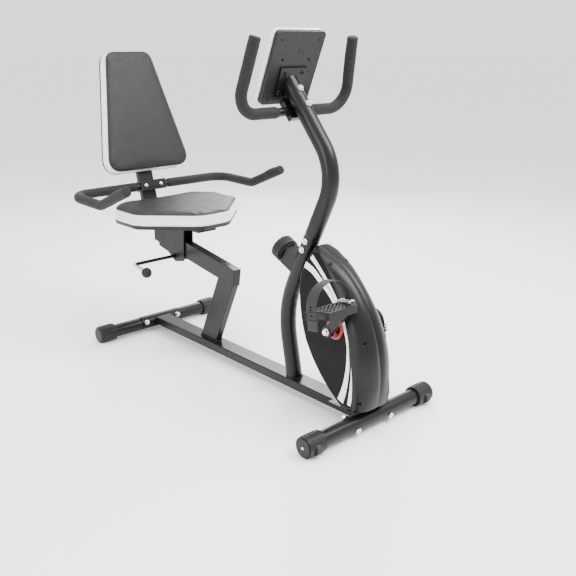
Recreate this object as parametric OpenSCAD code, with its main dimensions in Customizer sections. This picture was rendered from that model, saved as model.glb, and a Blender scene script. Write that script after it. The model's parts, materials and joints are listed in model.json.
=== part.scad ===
// Recumbent exercise bike: belt drive, magnetic brake, seat that slides on an inclined rail.
// Millimetres. +X points to the pedals, +Y to the rider's left, +Z up, floor at Z = 0.
// Stations (X) inside the modules are counted from the front stabilizer's axis.

/* [Base] */
// Distance between the two stabilizer axes
wheelbase = 1106; // [1090:1:1120]
// Overall length of a stabilizer, over its caps
stabilizer_l = 530; // [500:1:560]
// Diameter of the stabilizer tubes
stabilizer_d = 48; // [44:1:50]
// Width of the base rail
rail_w = 60; // [50:1:64]

/* [Drive] */
// Height of the crank axis above the floor
crank_z = 297; // [290:1:300]
// Crank arm length, centre to centre
crank_l = 135; // [125:1:140]
// Crank arm's angle above the horizontal at rest
crank_angle = 48.5; // [40:0.5:60]
// Diameter of the driving pulley
pulley_d = 144; // [120:2:150]
// Diameter of the flywheel
flywheel_d = 136; // [120:2:140]
// Half of the casing's width
casing_half_w = 67; // [64:1:70]

/* [Seat] */
// Height of the seat cushion's top
seat_z = 523; // [515:1:530]
// Thickness of the seat cushion
seat_t = 58; // [50:1:60]
// Thickness of the back cushion
back_t = 44; // [38:1:46]
// Backrest's recline from the vertical
back_tilt = 16; // [12:1:18]

/* [Bars] */
// Outer diameter of the foam grips
grip_d = 33; // [30:1:36]
// Diameter of the handlebar tubes
bar_d = 25.4; // [22:0.1:26]
// Diameter of the mast and of the front post
post_d = 50; // [46:1:52]

/* [Hidden] */
$fn = 48;
smooth = 96;
hull_fn = 32;
tiny = 0.01;
weld = 0.2;
skin = 0.02;
gap = 0.3;

// Station of the front stabilizer's axis ahead of the origin
front_x = 610.64;

cap_r = 31;
cap_axis_z = 30;
cap_l = 65;
half_l = stabilizer_l / 2;
stab_r = stabilizer_d / 2;
tube_wall = 2;
rear_x = -wheelbase;
rail_top = 54;
rail_h = 30;
bolt_y = 70;

wheel_x = 21;
wheel_z = 25;
wheel_r = 17;
wheel_w = 16;
wheel_y = 234;
wheel_pin_r = 3;

post_r = post_d / 2;
foot_x = -316.6;
foot_z = 44;
bow_x = -363;
bow_z = 276.8;
bow_r = 310;
joint_x = -243;
joint_z = 524;
post_lean = atan2(joint_x - bow_x, joint_z - bow_z);
mast_bend_z = 722.5;
mast_bend_x = joint_x + (mast_bend_z - joint_z) * tan(post_lean);
mast_bend_r = 146;
mast_end_x = -352;
mast_end_z = 967.3;
mast_lean = atan2(mast_bend_x - mast_end_x, mast_end_z - mast_bend_z);
clamp_back = 84;
clamp_x = mast_end_x + clamp_back * sin(mast_lean);
clamp_z = mast_end_z - clamp_back * cos(mast_lean);

knob_lean = 25.8;
knob_x = -365.7;
knob_z = 464.5;
knob_d = 78;
knob_l = 31;
box_top = -27;
box_low = 31;
box_w = 46;
box_start = 20.3;
knob_shaft_r = 7;
strut_x = -312;
strut_z = 374;

crank_x = -83;
crank_pos = [crank_x, 0, crank_z];
crank_dx = crank_l * cos(crank_angle);
crank_dz = crank_l * sin(crank_angle);
arm_y = 84;
arm_t = 14;
axle_r = 8.5;
pulley_y = -42;
pulley_w = 14;
pedal_y = 110;
pedal_w = 104;
pedal_l = 72;
pedal_h = 22;
pedal_pitch = 9;
strap_t = 3;
strap_w = 36;
strap_in = 104.3;

wheel_axis_x = -48;
wheel_axis_z = 163;
hub_pulley_d = 28;
magnet_pivot_angle = -35;
magnet_pivot_r = 82;
magnet_gap = 2.5;
magnet_t = 4.4;
bow_gap = 5;
bow_t = 3;

casing_front_x = -317;
casing_front_z = 167;
casing_front_r = 360;
casing_rear_x = 165;
casing_rear_z = 419;
casing_rear_r = 414;
casing_bottom = 70;
casing_wall = 3;
casing_nose_r = 48;
casing_edge_round = 16;
panel_x = -505;
panel_z = 122;
panel_r = 547;
casing_rear_round = 8;
taper_z = 230;
casing_top_z = 503;
casing_clear = 40;
top_half_w = 42;
seal_r = 30;

incline = 9.05;
slope_x = -600;
slope_z = 343.5;
slope_h = 60;
slope_w = 30;
slope_l = 475;
seat_post_w = 80;
seat_post_t = 26;
seat_post_lean = 24.7;

plate_y = 17.6;
plate_t = 3;
lever_x = -945;
lever_z = 324;
lever_r = 6;
lever_reach = 190;
lever_arm = 72;
lever_drop = 8;
ball_r = 18;

cushion_top_x = -1222;
cushion_top_z = 1036;
back_len = 433;
back_top_w = 97;
back_low_w = 173;
back_post_t = 20;
back_post_w = 60;

bracket_x = -1104;
bracket_z = 561;
side_bend_y = 320;
side_arm_x = -907;
side_arm_z = 558;
side_end_x = -742;
side_end_z = 626;

bar_low_y = 212;
bar_top_x = -276;
bar_top_y = 184;
bar_top_z = 1077;

console_low_x = -369.8;
console_low_z = 897.6;
console_lean = 23;
console_h = 214;
console_w = 180;
console_t = 26;

bar_r = bar_d / 2;
bar_wall = 1.8;
grip_r = grip_d / 2;
grip_wall = grip_r - bar_r - 0.1;
bar_offset = post_r + bar_r + gap;
bar_low_x = clamp_x - bar_offset * cos(mast_lean);
bar_low_z = clamp_z - bar_offset * sin(mast_lean);

// ---- Shared shapes ----

module placed() {
    translate([front_x, 0, 0]) children();
}

module y_rod(r, y0, y1) {
    translate([0, y1, 0]) rotate([90, 0, 0]) cylinder(r = r, h = y1 - y0);
}

module mirrored() {
    children();
    mirror([0, 1, 0]) children();
}

function unit(v) = v / norm(v);
function corner_cut(p, i, radius) =
    radius * tan(acos(unit(p[i] - p[i - 1]) * unit(p[i + 1] - p[i])) / 2);

// Round section, hollow when wall is above zero
module section(r, wall) {
    difference() {
        circle(r = r, $fn = smooth);
        if (wall > 0) circle(r = r - wall, $fn = smooth);
    }
}

// Turns Z onto the direction d
module aim(d) {
    rotate([0, acos(d[2] / norm(d)), atan2(d[1], d[0])]) children();
}

// Straight round bar or tube between two points
module bar(a, b, r, wall = 0) {
    translate(a) aim(b - a) linear_extrude(norm(b - a)) section(r, wall);
}

// Bend that joins the lines before and after corner p[i]
module elbow(p, i, radius, r, wall) {
    u = unit(p[i] - p[i - 1]);
    v = unit(p[i + 1] - p[i]);
    turn = acos(u * v);
    n = unit(v - (u * v) * u);
    c = p[i] - u * radius * tan(turn / 2) + n * radius;
    w = cross(-n, u);
    multmatrix([
        [-n[0], u[0], w[0], c[0]],
        [-n[1], u[1], w[1], c[1]],
        [-n[2], u[2], w[2], c[2]]
    ])
        rotate_extrude(angle = turn, $fn = smooth)
            translate([radius, 0]) section(r, wall);
}

// Short collar that welds a straight length to a bend
module weld_ring(at, d, r, wall) {
    translate(at) aim(d) translate([0, 0, -weld]) linear_extrude(2 * weld)
        section(r + skin, wall > 0 ? wall + 2 * skin : 0);
}

// Round bar or tube along the points p, bent at each inner point with the radius in bends
module bent_bar(p, bends, r, wall = 0) {
    last = len(p) - 1;
    for (i = [0 : last - 1]) {
        u = unit(p[i + 1] - p[i]);
        a = i == 0 ? 0 : corner_cut(p, i, bends[i - 1]);
        b = i == last - 1 ? 0 : corner_cut(p, i + 1, bends[i]);
        from = p[i] + u * (a + (i == 0 ? 0 : weld / 2));
        to = p[i + 1] - u * (b + (i == last - 1 ? 0 : weld / 2));
        bar(from, to, r, wall);
        if (i > 0) weld_ring(p[i] + u * a, u, r, wall);
        if (i < last - 1) weld_ring(p[i + 1] - u * b, u, r, wall);
    }
    for (i = [1 : last - 1]) elbow(p, i, bends[i - 1], r, wall);
}

// Rounded outline: discs at the corners, hulled
module rounded_outline(points, r) {
    hull() for (q = points) translate(q) circle(r = r, $fn = hull_fn);
}

// ---- Base ----

module base_rail() {
    color("dimgray") difference() {
        translate([rear_x + stab_r + 4, -rail_w / 2, rail_top - rail_h])
            cube([wheelbase - 2 * stab_r - 8, rail_w, rail_h]);
        translate([rear_x + stab_r + 10, tube_wall - rail_w / 2, rail_top - rail_h + tube_wall])
            cube([wheelbase - 2 * stab_r - 20, rail_w - 2 * tube_wall, rail_h - 2 * tube_wall]);
    }
}

module saddle(x, side) {
    translate([x, 0, cap_axis_z]) difference() {
        y_rod(stab_r + 3.6, -85, 85, $fn = smooth);
        y_rod(stab_r + gap, -86, 86, $fn = smooth);
        translate([side > 0 ? -60 : 0, -90, -60]) cube([60, 180, 120]);
        translate([-60, -90, -60]) cube([120, 180, 46]);
        for (y = [-bolt_y, bolt_y])
            translate([0, y, 0]) rotate([0, side * 70, 0]) cylinder(r = 4.3, h = 60);
    }
}

module rail_saddles() {
    color("dimgray") {
        saddle(rear_x, 1);
        saddle(0, -1);
    }
}

module stabilizer(x, reach, side) {
    color("dimgray") translate([x, 0, cap_axis_z]) difference() {
        y_rod(stab_r, -reach, reach, $fn = smooth);
        y_rod(stab_r - tube_wall, -reach - 1, reach + 1, $fn = smooth);
        for (y = [-bolt_y, bolt_y])
            translate([0, y, 0]) rotate([0, side * 70, 0]) cylinder(r = 4.3, h = 80, center = true);
    }
}

front_reach = half_l - cap_l + 18;
rear_reach = half_l - 10;

module front_stabilizer() stabilizer(0, front_reach, -1);
module rear_stabilizer() stabilizer(rear_x, rear_reach, 1);

// One cap: a cup over the tube's end, cut flat at the floor
module cap_body(depth) {
    difference() {
        union() {
            y_rod(cap_r, half_l - cap_l, half_l - 4, $fn = smooth);
            y_rod(cap_r - 5, half_l - 4, half_l, $fn = smooth);
        }
        y_rod(stab_r + 0.05, half_l - cap_l - 1, half_l - cap_l + depth, $fn = smooth);
        translate([-50, 0, -cap_axis_z - 20]) cube([100, half_l + 10, 20]);
    }
}

module front_caps() {
    color([0.1, 0.1, 0.11]) mirrored() translate([0, 0, cap_axis_z]) difference() {
        cap_body(18.5);
        translate([wheel_x, 0, wheel_z - cap_axis_z]) {
            y_rod(wheel_r + 2, wheel_y - wheel_w / 2 - 1.5, wheel_y + wheel_w / 2 + 1.5);
            y_rod(wheel_pin_r + 0.05, wheel_y - 15, wheel_y + 15);
        }
        translate([wheel_x, wheel_y - wheel_w / 2 - 1.5, -cap_axis_z - 5])
            cube([30, wheel_w + 3, 25]);
    }
}

module rear_caps() {
    color([0.1, 0.1, 0.11]) mirrored() translate([rear_x, 0, cap_axis_z]) cap_body(55.5);
}

module transport_wheel(side) {
    color([0.2, 0.2, 0.2]) translate([wheel_x, side * wheel_y, wheel_z]) rotate([90, 0, 0])
        rotate_extrude($fn = smooth) difference() {
            translate([wheel_pin_r + 0.08, -wheel_w / 2])
                square([wheel_r - wheel_pin_r - 0.08, wheel_w]);
            translate([wheel_r - 4.5, wheel_w / 2]) circle(r = 2.5);
            translate([wheel_r - 4.5, -wheel_w / 2]) circle(r = 2.5);
        }
}

module transport_wheel_left() transport_wheel(1);
module transport_wheel_right() transport_wheel(-1);

module wheel_pins() {
    color("silver") mirrored() translate([wheel_x, 0, wheel_z])
        y_rod(wheel_pin_r, wheel_y - 13.5, wheel_y + 13.5);
}

// Carriage bolt across a stabilizer, with a washer and a cap nut on the saddle
module carriage_bolt(x, y, side) {
    translate([x, y, cap_axis_z]) rotate([0, side * 70, 0]) {
        translate([0, 0, -stab_r - 7]) cylinder(r = 4, h = 2 * stab_r + 17);
        translate([0, 0, -stab_r - 7.5]) intersection() {
            cylinder(r = 9.5, h = 6.5);
            translate([0, 0, 9.5]) sphere(r = 11);
        }
        translate([0, 0, stab_r + 4.4]) cylinder(r = 9.5, h = 1.8);
        translate([0, 0, stab_r + 6.2]) cylinder(r = 7.5, h = 7, $fn = 6);
        translate([0, 0, stab_r + 13.2]) intersection() {
            cylinder(r = 6, h = 6);
            sphere(r = 6);
        }
    }
}

module stabilizer_bolts() {
    color("silver") for (y = [-bolt_y, bolt_y]) {
        carriage_bolt(0, y, -1);
        carriage_bolt(rear_x, y, 1);
    }
}

// ---- Post and mast ----

joint = [joint_x, 0, joint_z];
up_post = [sin(post_lean), 0, cos(post_lean)];
up_mast = [-sin(mast_lean), 0, cos(mast_lean)];
post_path = [[foot_x, 0, foot_z], [bow_x, 0, bow_z], joint];
mast_path = [joint + 0.4 * up_post, [mast_bend_x, 0, mast_bend_z], [mast_end_x, 0, mast_end_z]];
joint_bolts = [-12, -43];
clamp_bolts = [-20, 32];

module joint_frame(along) {
    translate(joint + along * up_post) rotate([0, post_lean, 0]) children();
}

// Cylinder along the post's straight upper length
module post_core(r) {
    joint_frame(-200) cylinder(r = r, h = 260, $fn = smooth);
}

module front_post() {
    color("dimgray") difference() {
        bent_bar(post_path, [bow_r], post_r, tube_wall);
        translate([foot_x - 60, -50, rail_top + gap - 40]) cube([120, 100, 40]);
        for (d = joint_bolts) joint_frame(d) y_rod(5.2, -50, 50);
        knob_frame() translate([0, 0, 40]) cylinder(r = 5, h = 120);
    }
}

module mast() {
    color("dimgray") difference() {
        union() {
            bent_bar(mast_path, [mast_bend_r], post_r, tube_wall);
            bar(joint - 70 * up_post, joint + 6 * up_post, post_r - tube_wall - 0.2, 2.2);
            bar(joint + 0.5 * up_post, joint + 5 * up_post, post_r - 0.1, 4.4);
            mast_plate();
        }
        console_frame() translate([-90, -60, 0]) cube([90.4, 120, 170]);
        for (d = joint_bolts) joint_frame(d) y_rod(5.2, -50, 50);
        for (s = clamp_bolts) clamp_frame() translate([0, 0, s]) rotate([0, 90, 0])
            cylinder(r = 4.3, h = 80, center = true);
    }
}

// Plate welded on the mast's end, under the console
module console_frame() {
    translate([console_low_x, 0, console_low_z]) rotate([0, console_lean, 0]) children();
}

module mast_plate() {
    console_frame() translate([0.4, -50, 28]) cube([6, 100, 84]);
}

// Four bolts with curved washers where the mast sits on the post
module mast_bolts() {
    color("silver") for (d = joint_bolts) joint_frame(d) mirrored() {
        y_rod(4.9, post_r - 9, post_r + 2);
        y_rod(9.5, post_r + gap, post_r + 2);
        y_rod(7, post_r + 2, post_r + 6);
    }
}

// ---- Tension control ----

module knob_frame() {
    translate([knob_x, 0, knob_z]) rotate([0, 90 + knob_lean, 0]) children();
}

module knob_housing() {
    box_h = box_low - box_top;
    color([0.2, 0.2, 0.21]) difference() {
        knob_frame() translate([box_top, -box_w / 2, box_start]) cube([box_h, box_w, 58]);
        knob_frame() translate([box_top + 3, 3 - box_w / 2, box_start + 3])
            cube([box_h - 6, box_w - 6, 70]);
        post_core(post_r + gap);
        knob_frame() cylinder(r = knob_shaft_r + 0.08, h = 60);
    }
}

module tension_knob() {
    color([0.12, 0.12, 0.13]) knob_frame() {
        difference() {
            union() {
                translate([0, 0, -knob_l / 2]) cylinder(r = knob_d / 2, h = knob_l, $fn = smooth);
                translate([0, 0, knob_l / 2]) cylinder(r = knob_d / 2 - 7, h = 4, $fn = smooth);
            }
            for (a = [0 : 15 : 345]) rotate(a)
                translate([knob_d / 2 + 1, 0, -knob_l / 2 - 1]) cylinder(r = 3.2, h = knob_l - 5);
            translate([0, 0, -knob_l / 2 - 10]) cylinder(r = 21, h = 13);
        }
        translate([0, 0, knob_l / 2 + 4 - tiny]) cylinder(r = knob_shaft_r, h = 16);
    }
}

knob_axis = [cos(knob_lean), 0, -sin(knob_lean)];
knob_at = [knob_x, 0, knob_z];
cable_path = [knob_at + 38 * knob_axis, knob_at + 170 * knob_axis, [-20, 0, 335], [-17, 0, 243.5]];
lead_path = [joint - 60 * up_post, [mast_bend_x, 0, mast_bend_z],
    [mast_end_x, 0, mast_end_z] - 24 * up_mast];

// Brake cable from the knob to the magnet bracket, and the console's lead inside the mast
module control_cables() {
    color([0.05, 0.05, 0.05]) {
        bent_bar(cable_path, [120, 40], 2);
        translate([0, 12, 0]) bent_bar(lead_path, [mast_bend_r], 2.5);
    }
}

// ---- Casing ----

// Disc about the Y axis with rounded rims, the outline of one side of the lens
module rim_disc(r, half_w, round) {
    rotate([90, 0, 0]) rotate_extrude($fn = 180) {
        translate([0, -half_w]) square([r - round, 2 * half_w]);
        translate([0, round - half_w]) square([r, 2 * (half_w - round)]);
        for (s = [-1, 1]) translate([r - round, s * (half_w - round)]) circle(r = round, $fn = 96);
    }
}

module casing_form(inset) {
    intersection() {
        translate([casing_front_x, 0, casing_front_z])
            rim_disc(casing_front_r - inset, casing_half_w - inset, casing_edge_round - inset);
        translate([panel_x, 0, panel_z])
            rim_disc(panel_r - inset, casing_half_w - inset, casing_nose_r - inset);
        translate([casing_rear_x, 0, casing_rear_z])
            rim_disc(casing_rear_r - inset, casing_half_w - inset, casing_rear_round - inset);
        translate([-400, 0, 0]) rotate([90, 0, 90]) linear_extrude(600) polygon([
            [inset - casing_half_w, casing_bottom + inset],
            [casing_half_w - inset, casing_bottom + inset],
            [casing_half_w - inset, taper_z],
            [top_half_w - inset, casing_top_z - inset],
            [inset - top_half_w, casing_top_z - inset],
            [inset - casing_half_w, taper_z]
        ]);
        joint_frame(-200) translate([casing_clear + inset, -100, -400]) cube([600, 200, 800]);
    }
}

screw_spots = [[-150, 462], [4, 288], [4, 82]];

module casing_shell(side) {
    color([0.08, 0.08, 0.09]) difference() {
        casing_form(0);
        casing_form(casing_wall);
        translate([-400, side > 0 ? -200 + gap : -gap, 0]) cube([600, 200, 600]);
        translate([crank_x, side * 60, crank_z]) y_rod(seal_r + 0.05, -30, 30, $fn = smooth);
        translate([-120, -58, casing_bottom - 5]) cube([140, 90, 20]);
        bar([strut_x, 0, strut_z], [crank_x, 0, crank_z], 14);
        bar(cable_path[0], cable_path[1], 4);
        for (s = screw_spots) translate([s[0], side * 60, s[1]]) y_rod(2.6, -40, 40);
    }
}

module casing_left() casing_shell(1);
module casing_right() casing_shell(-1);

module casing_screws() {
    color([0.15, 0.15, 0.16]) for (s = screw_spots) translate([s[0], 0, s[1]])
        y_rod(2.2, -30, 30);
}

// ---- Drive ----

shell_r = 20;
frame_y = 20;
lug_y = 50;

module drive_frame() {
    color([0.3, 0.3, 0.32]) difference() {
        union() {
            translate([-112, -54, rail_top + gap]) cube([80, 84, 4]);
            translate([0, frame_y + 4, 0]) rotate([90, 0, 0]) linear_extrude(4) polygon([
                [-58, rail_top + 4], [-36, rail_top + 4], [-26, wheel_axis_z], [-62, crank_z],
                [-104, crank_z], [-92, wheel_axis_z], [-84, 112], [-58, 82]
            ]);
            translate([0, -lug_y, 0]) rotate([90, 0, 0]) linear_extrude(4) polygon([
                [-64, rail_top + 4], [-36, rail_top + 4], [-34, wheel_axis_z + 16],
                [-62, wheel_axis_z + 16]
            ]);
            translate([crank_x, 0, crank_z]) y_rod(shell_r, -24, 40, $fn = smooth);
            bar([strut_x, 0, strut_z], [crank_x, 0, crank_z], 12);
            translate([0, frame_y + 4, 0]) rotate([90, 0, 0]) linear_extrude(4) polygon([
                [-40, 92], [29, 92], [29, 130], [-40, 130]
            ]);
        }
        translate([crank_x, 0, crank_z]) y_rod(shell_r - 3, -25, 41, $fn = smooth);
        translate([wheel_axis_x, 0, wheel_axis_z]) y_rod(6.05, -60, 60);
        translate([pivot_x, 0, pivot_z]) y_rod(4.05, -60, 60);
        post_core(post_r + gap);
    }
}

pivot_x = wheel_axis_x + magnet_pivot_r * cos(magnet_pivot_angle);
pivot_z = wheel_axis_z + magnet_pivot_r * sin(magnet_pivot_angle);

module ring(r_out, r_in, y0, y1) {
    difference() {
        y_rod(r_out, y0, y1, $fn = smooth);
        y_rod(r_in, y0 - 1, y1 + 1, $fn = smooth);
    }
}

module crank_bearings() {
    color("silver") translate(crank_pos) {
        ring(shell_r - 3, axle_r + 0.05, -24, -12);
        ring(shell_r - 3, axle_r + 0.05, 28, 40);
    }
}

// Red trim rings in the casing around the crank axle
module crank_seals() {
    color([0.75, 0.15, 0.12]) translate(crank_pos) mirrored() difference() {
        y_rod(seal_r, casing_half_w - 10, casing_half_w + 1, $fn = smooth);
        translate([0, casing_half_w - 11, 0]) rotate([-90, 0, 0])
            cylinder(r1 = 13, r2 = 24, h = 12.01, $fn = smooth);
    }
}

module crank_axle() {
    color("silver") translate(crank_pos) y_rod(axle_r, -98, 98, $fn = smooth);
}

module crank_pulley() {
    color([0.25, 0.25, 0.26]) translate(crank_pos) difference() {
        y_rod(pulley_d / 2, pulley_y, pulley_y + pulley_w, $fn = smooth);
        y_rod(axle_r, pulley_y - 1, pulley_y + pulley_w + 1, $fn = smooth);
        for (y = [pulley_y - 1, pulley_y + pulley_w - 4]) ring(pulley_d / 2 - 9, 18, y, y + 5);
        for (a = [0 : 60 : 300]) rotate([0, a, 0]) translate([pulley_d / 2 - 30, 0, 0])
            y_rod(11, pulley_y - 1, pulley_y + pulley_w + 1);
    }
}

// Crank arm: a bar that tapers to the pedal eye
module crank_arm(side) {
    color([0.13, 0.13, 0.14]) translate([crank_x, side * (arm_y + arm_t / 2), crank_z])
        rotate([90, 0, 0]) difference() {
            translate([0, 0, -arm_t / 2]) union() {
                cylinder(r = 17, h = arm_t, $fn = smooth);
                translate([-side * crank_dx, -side * crank_dz, 0])
                    cylinder(r = 13, h = arm_t, $fn = smooth);
                rotate(crank_angle + (side > 0 ? 180 : 0)) translate([0, 0, 1])
                    linear_extrude(arm_t - 2) polygon([
                        [2, -14], [crank_l - 2, -10.5], [crank_l - 2, 10.5], [2, 14]
                    ]);
            }
            cylinder(r = axle_r, h = 60, center = true, $fn = smooth);
            translate([-side * crank_dx, -side * crank_dz, 0])
                cylinder(r = 6.5, h = 60, center = true, $fn = smooth);
        }
}

module crank_arm_left() crank_arm(1);
module crank_arm_right() crank_arm(-1);

module crank_nuts() {
    color("gainsboro") translate(crank_pos) mirrored() {
        y_rod(10.5, arm_y + arm_t, arm_y + arm_t + 2);
        y_rod(8.5, arm_y + arm_t + 2, arm_y + arm_t + 9, $fn = 6);
    }
}

// Places a shape at a pedal's axis: side -1 is the right pedal
module at_pedal(side) {
    translate([crank_x - side * crank_dx, 0, crank_z - side * crank_dz])
        rotate([0, -pedal_pitch, 0]) children();
}

module pedal_spindles() {
    color("silver") for (s = [-1, 1]) at_pedal(s) mirror([0, s < 0 ? 1 : 0, 0]) {
        y_rod(6.5, arm_y + 1, pedal_y - 4);
        y_rod(9.5, arm_y + arm_t + gap, arm_y + arm_t + 6);
        y_rod(5, pedal_y - 5, pedal_y + pedal_w - 14);
    }
}

pedal_mid = pedal_y + pedal_w / 2;

// Pedal: a cage with cross bars, grip studs and a sleeve for the spindle
module pedal(side) {
    color([0.16, 0.16, 0.17]) at_pedal(side) mirror([0, side < 0 ? 1 : 0, 0]) {
        difference() {
            union() {
                translate([-pedal_l / 2, pedal_y, -pedal_h / 2]) cube([pedal_l, pedal_w, pedal_h]);
                for (x = [-24, -12, 0, 12, 24], y = [14 : 15 : 89])
                    translate([x, pedal_y + y, pedal_h / 2 - tiny]) cylinder(r = 2.4, h = 3);
            }
            for (x = [-1, 1]) translate([x * 19 - 8, pedal_y + 9, -pedal_h / 2 - 1])
                cube([16, pedal_w - 18, pedal_h - 5]);
            y_rod(5.06, pedal_y - 1, pedal_y + pedal_w - 12, $fn = smooth);
            for (y = [pedal_y - 1, pedal_y + pedal_w - 4])
                translate([-strap_w / 2 - 0.5, y, -pedal_h / 2 - 1]) cube([strap_w + 1, 5, pedal_h - 4]);
        }
    }
}

module pedal_left() pedal(1);
module pedal_right() pedal(-1);

// Strap: an arch over the foot, from the pedal's outer end to its inner end
module pedal_strap(side) {
    arch_r = 66;
    arch_z = 16;
    inner = strap_in - pedal_mid;
    outer = inner + strap_t + 2 * arch_r;
    color([0.1, 0.1, 0.1]) at_pedal(side) mirror([0, side < 0 ? 1 : 0, 0])
        translate([-strap_w / 2, pedal_mid, 0]) rotate([90, 0, 90]) linear_extrude(strap_w) {
            translate([inner + strap_t + arch_r, arch_z]) difference() {
                circle(r = arch_r + strap_t, $fn = smooth);
                circle(r = arch_r, $fn = smooth);
                translate([-90, -100]) square([180, 100]);
            }
            translate([outer, -36]) square([strap_t, arch_z + 36.5]);
            translate([pedal_w / 2 + gap, -14]) square([outer - pedal_w / 2, strap_t]);
            translate([inner, 14.5]) square([strap_t, arch_z - 14]);
            translate([inner, 14.5]) square([18, strap_t]);
        }
}

module pedal_strap_left() pedal_strap(1);
module pedal_strap_right() pedal_strap(-1);

belt_t = 2.5;

// Belt: the band between an outer and an inner stadium around both pulleys
module belt_area(extra) {
    hull() {
        translate([crank_x, crank_z]) circle(r = pulley_d / 2 + extra, $fn = hull_fn * 2);
        translate([wheel_axis_x, wheel_axis_z])
            circle(r = hub_pulley_d / 2 + extra, $fn = hull_fn);
    }
}

module drive_belt() {
    color([0.05, 0.05, 0.05]) translate([0, pulley_y + pulley_w - 2, 0]) rotate([90, 0, 0])
        linear_extrude(pulley_w - 4) difference() {
            belt_area(belt_t + gap);
            belt_area(gap);
        }
}

module flywheel() {
    color([0.55, 0.56, 0.58]) translate([wheel_axis_x, 0, wheel_axis_z]) difference() {
        union() {
            y_rod(flywheel_d / 2, -12, 12, $fn = smooth);
            y_rod(hub_pulley_d / 2, pulley_y, -11, $fn = smooth);
            y_rod(11, pulley_y - 5, 17, $fn = smooth);
        }
        ring(flywheel_d / 2 - 16, 22, -13, -7);
        ring(flywheel_d / 2 - 16, 22, 7, 13);
        y_rod(6.06, -60, 60, $fn = smooth);
    }
}

module flywheel_axle() {
    color("silver") translate([wheel_axis_x, 0, wheel_axis_z]) {
        y_rod(6, -56, 34, $fn = smooth);
        y_rod(10, -61, -lug_y - 4 - gap, $fn = 6);
        y_rod(10, frame_y + 4 + gap, 31, $fn = 6);
    }
}

magnet_in = flywheel_d / 2 + magnet_gap;
bow_in = magnet_in + bow_gap;

function ray(a) = 200 * [cos(a), sin(a)];

// Steel bow that carries the magnets close to the flywheel's rim
module magnet_bracket() {
    color([0.5, 0.5, 0.52]) difference() {
        union() {
            translate([wheel_axis_x, 0, wheel_axis_z]) intersection() {
                ring(bow_in + bow_t, bow_in, -14, 14);
                rotate([90, 0, 0]) linear_extrude(60, center = true)
                    polygon([[0, 0], ray(-35), ray(20), ray(72)]);
            }
            translate([pivot_x, 0, pivot_z]) y_rod(7, -14, 14);
        }
        translate([pivot_x, 0, pivot_z]) y_rod(4.06, -20, 20);
    }
}

module brake_magnets() {
    color([0.75, 0.75, 0.78]) translate([wheel_axis_x, 0, wheel_axis_z])
        for (a = [-12 : 19 : 64]) rotate([0, -a, 0])
            translate([magnet_in, -10, -9]) cube([magnet_t, 20, 18]);
}

module bracket_pivot() {
    color("silver") translate([pivot_x, 0, pivot_z]) {
        y_rod(4, -18, frame_y + 8);
        y_rod(7, -18, -14.5);
        y_rod(7, frame_y + 4 + gap, frame_y + 8, $fn = 6);
    }
}

// ---- Seat rail ----

module slope_frame() {
    translate([slope_x, 0, slope_z]) rotate([0, incline, 0]) children();
}

module seat_post() {
    color([0.22, 0.22, 0.23]) difference() {
        post_bar(seat_post_w, seat_post_t);
        post_bar(seat_post_w - 5, seat_post_t - 5);
        slope_frame() translate([-slope_l - 50, -50, -slope_h - gap]) cube([slope_l + 200, 100, 300]);
        translate([-1000, -50, -100 + rail_top + gap]) cube([600, 100, 100]);
    }
}

// Leaning rectangular bar, longer than the post at both ends
module post_bar(w, t) {
    translate([-762, 0, rail_top]) rotate([0, seat_post_lean, 0])
        translate([-w / 2, -t / 2, -60]) cube([w, t, 420]);
}

module seat_rail() {
    color([0.22, 0.22, 0.23]) slope_frame() difference() {
        translate([-slope_l, -slope_w / 2, -slope_h]) cube([slope_l, slope_w, slope_h]);
        translate([-slope_l - 1, tube_wall - slope_w / 2, tube_wall - slope_h])
            cube([slope_l - 2, slope_w - 2 * tube_wall, slope_h - 2 * tube_wall]);
    }
}

module rail_plug() {
    color([0.06, 0.06, 0.06]) slope_frame() {
        translate([-slope_l - 4, -slope_w / 2, -slope_h]) cube([4 - tiny, slope_w, slope_h]);
        translate([-slope_l - 1, 2.2 - slope_w / 2, 2.2 - slope_h])
            cube([16, slope_w - 4.4, slope_h - 4.4]);
    }
}

// Side plates that hang over the rail, with the bearers under the cushion
module seat_carriage() {
    low = seat_z - seat_t - gap;
    color([0.24, 0.24, 0.25]) difference() {
        union() {
            mirrored() translate([0, plate_y + plate_t, 0]) rotate([90, 0, 0])
                linear_extrude(plate_t) polygon([
                    [-1068, low - 8], [-1072, 364], [-1044, 360], [-1041, 345], [-984, 333],
                    [-938, 305], [-884, 317], [-878, low - 8]
                ]);
            translate([-1068, -58, low - 8]) cube([190, 116, 4]);
            mirrored() translate([-1030, 20, low - 16]) cube([266, 18, 8 + tiny]);
            mirrored() translate([-1030, 34, low - 8 - tiny]) cube([266, 4, 8]);
            translate([-800, -38, low - 20]) cube([36, 76, 6]);
            translate([-1125, -30, low - 34]) cube([70, 60, 26]);
        }
        translate([lever_x, 0, lever_z]) y_rod(lever_r + 0.06, -40, 40);
        slope_frame() translate([-slope_l - 200, -16, -slope_h - 1]) cube([slope_l + 300, 32, slope_h + 4]);
    }
}

// Low-friction strips between the carriage and the rail
module carriage_glides() {
    color([0.85, 0.85, 0.8]) slope_frame()
        for (x = [-slope_l + 20, -slope_l + 140]) {
            mirrored() translate([x, slope_w / 2 + gap, -slope_h + 8])
                cube([40, plate_y - slope_w / 2 - 2 * gap, slope_h - 12]);
        }
}

module lever_frame() {
    translate([lever_x, 0, lever_z]) children();
}

module seat_lever() {
    ball = [lever_arm * cos(lever_drop), -lever_reach, -lever_arm * sin(lever_drop)];
    color("silver") lever_frame() {
        bent_bar([[0, plate_y + plate_t + 6, 0], [0, -lever_reach, 0], ball], [14], lever_r);
        y_rod(10, -plate_y - plate_t - 5, -plate_y - plate_t - 0.5);
        y_rod(10, plate_y + plate_t + 0.5, plate_y + plate_t + 5);
    }
}

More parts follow.
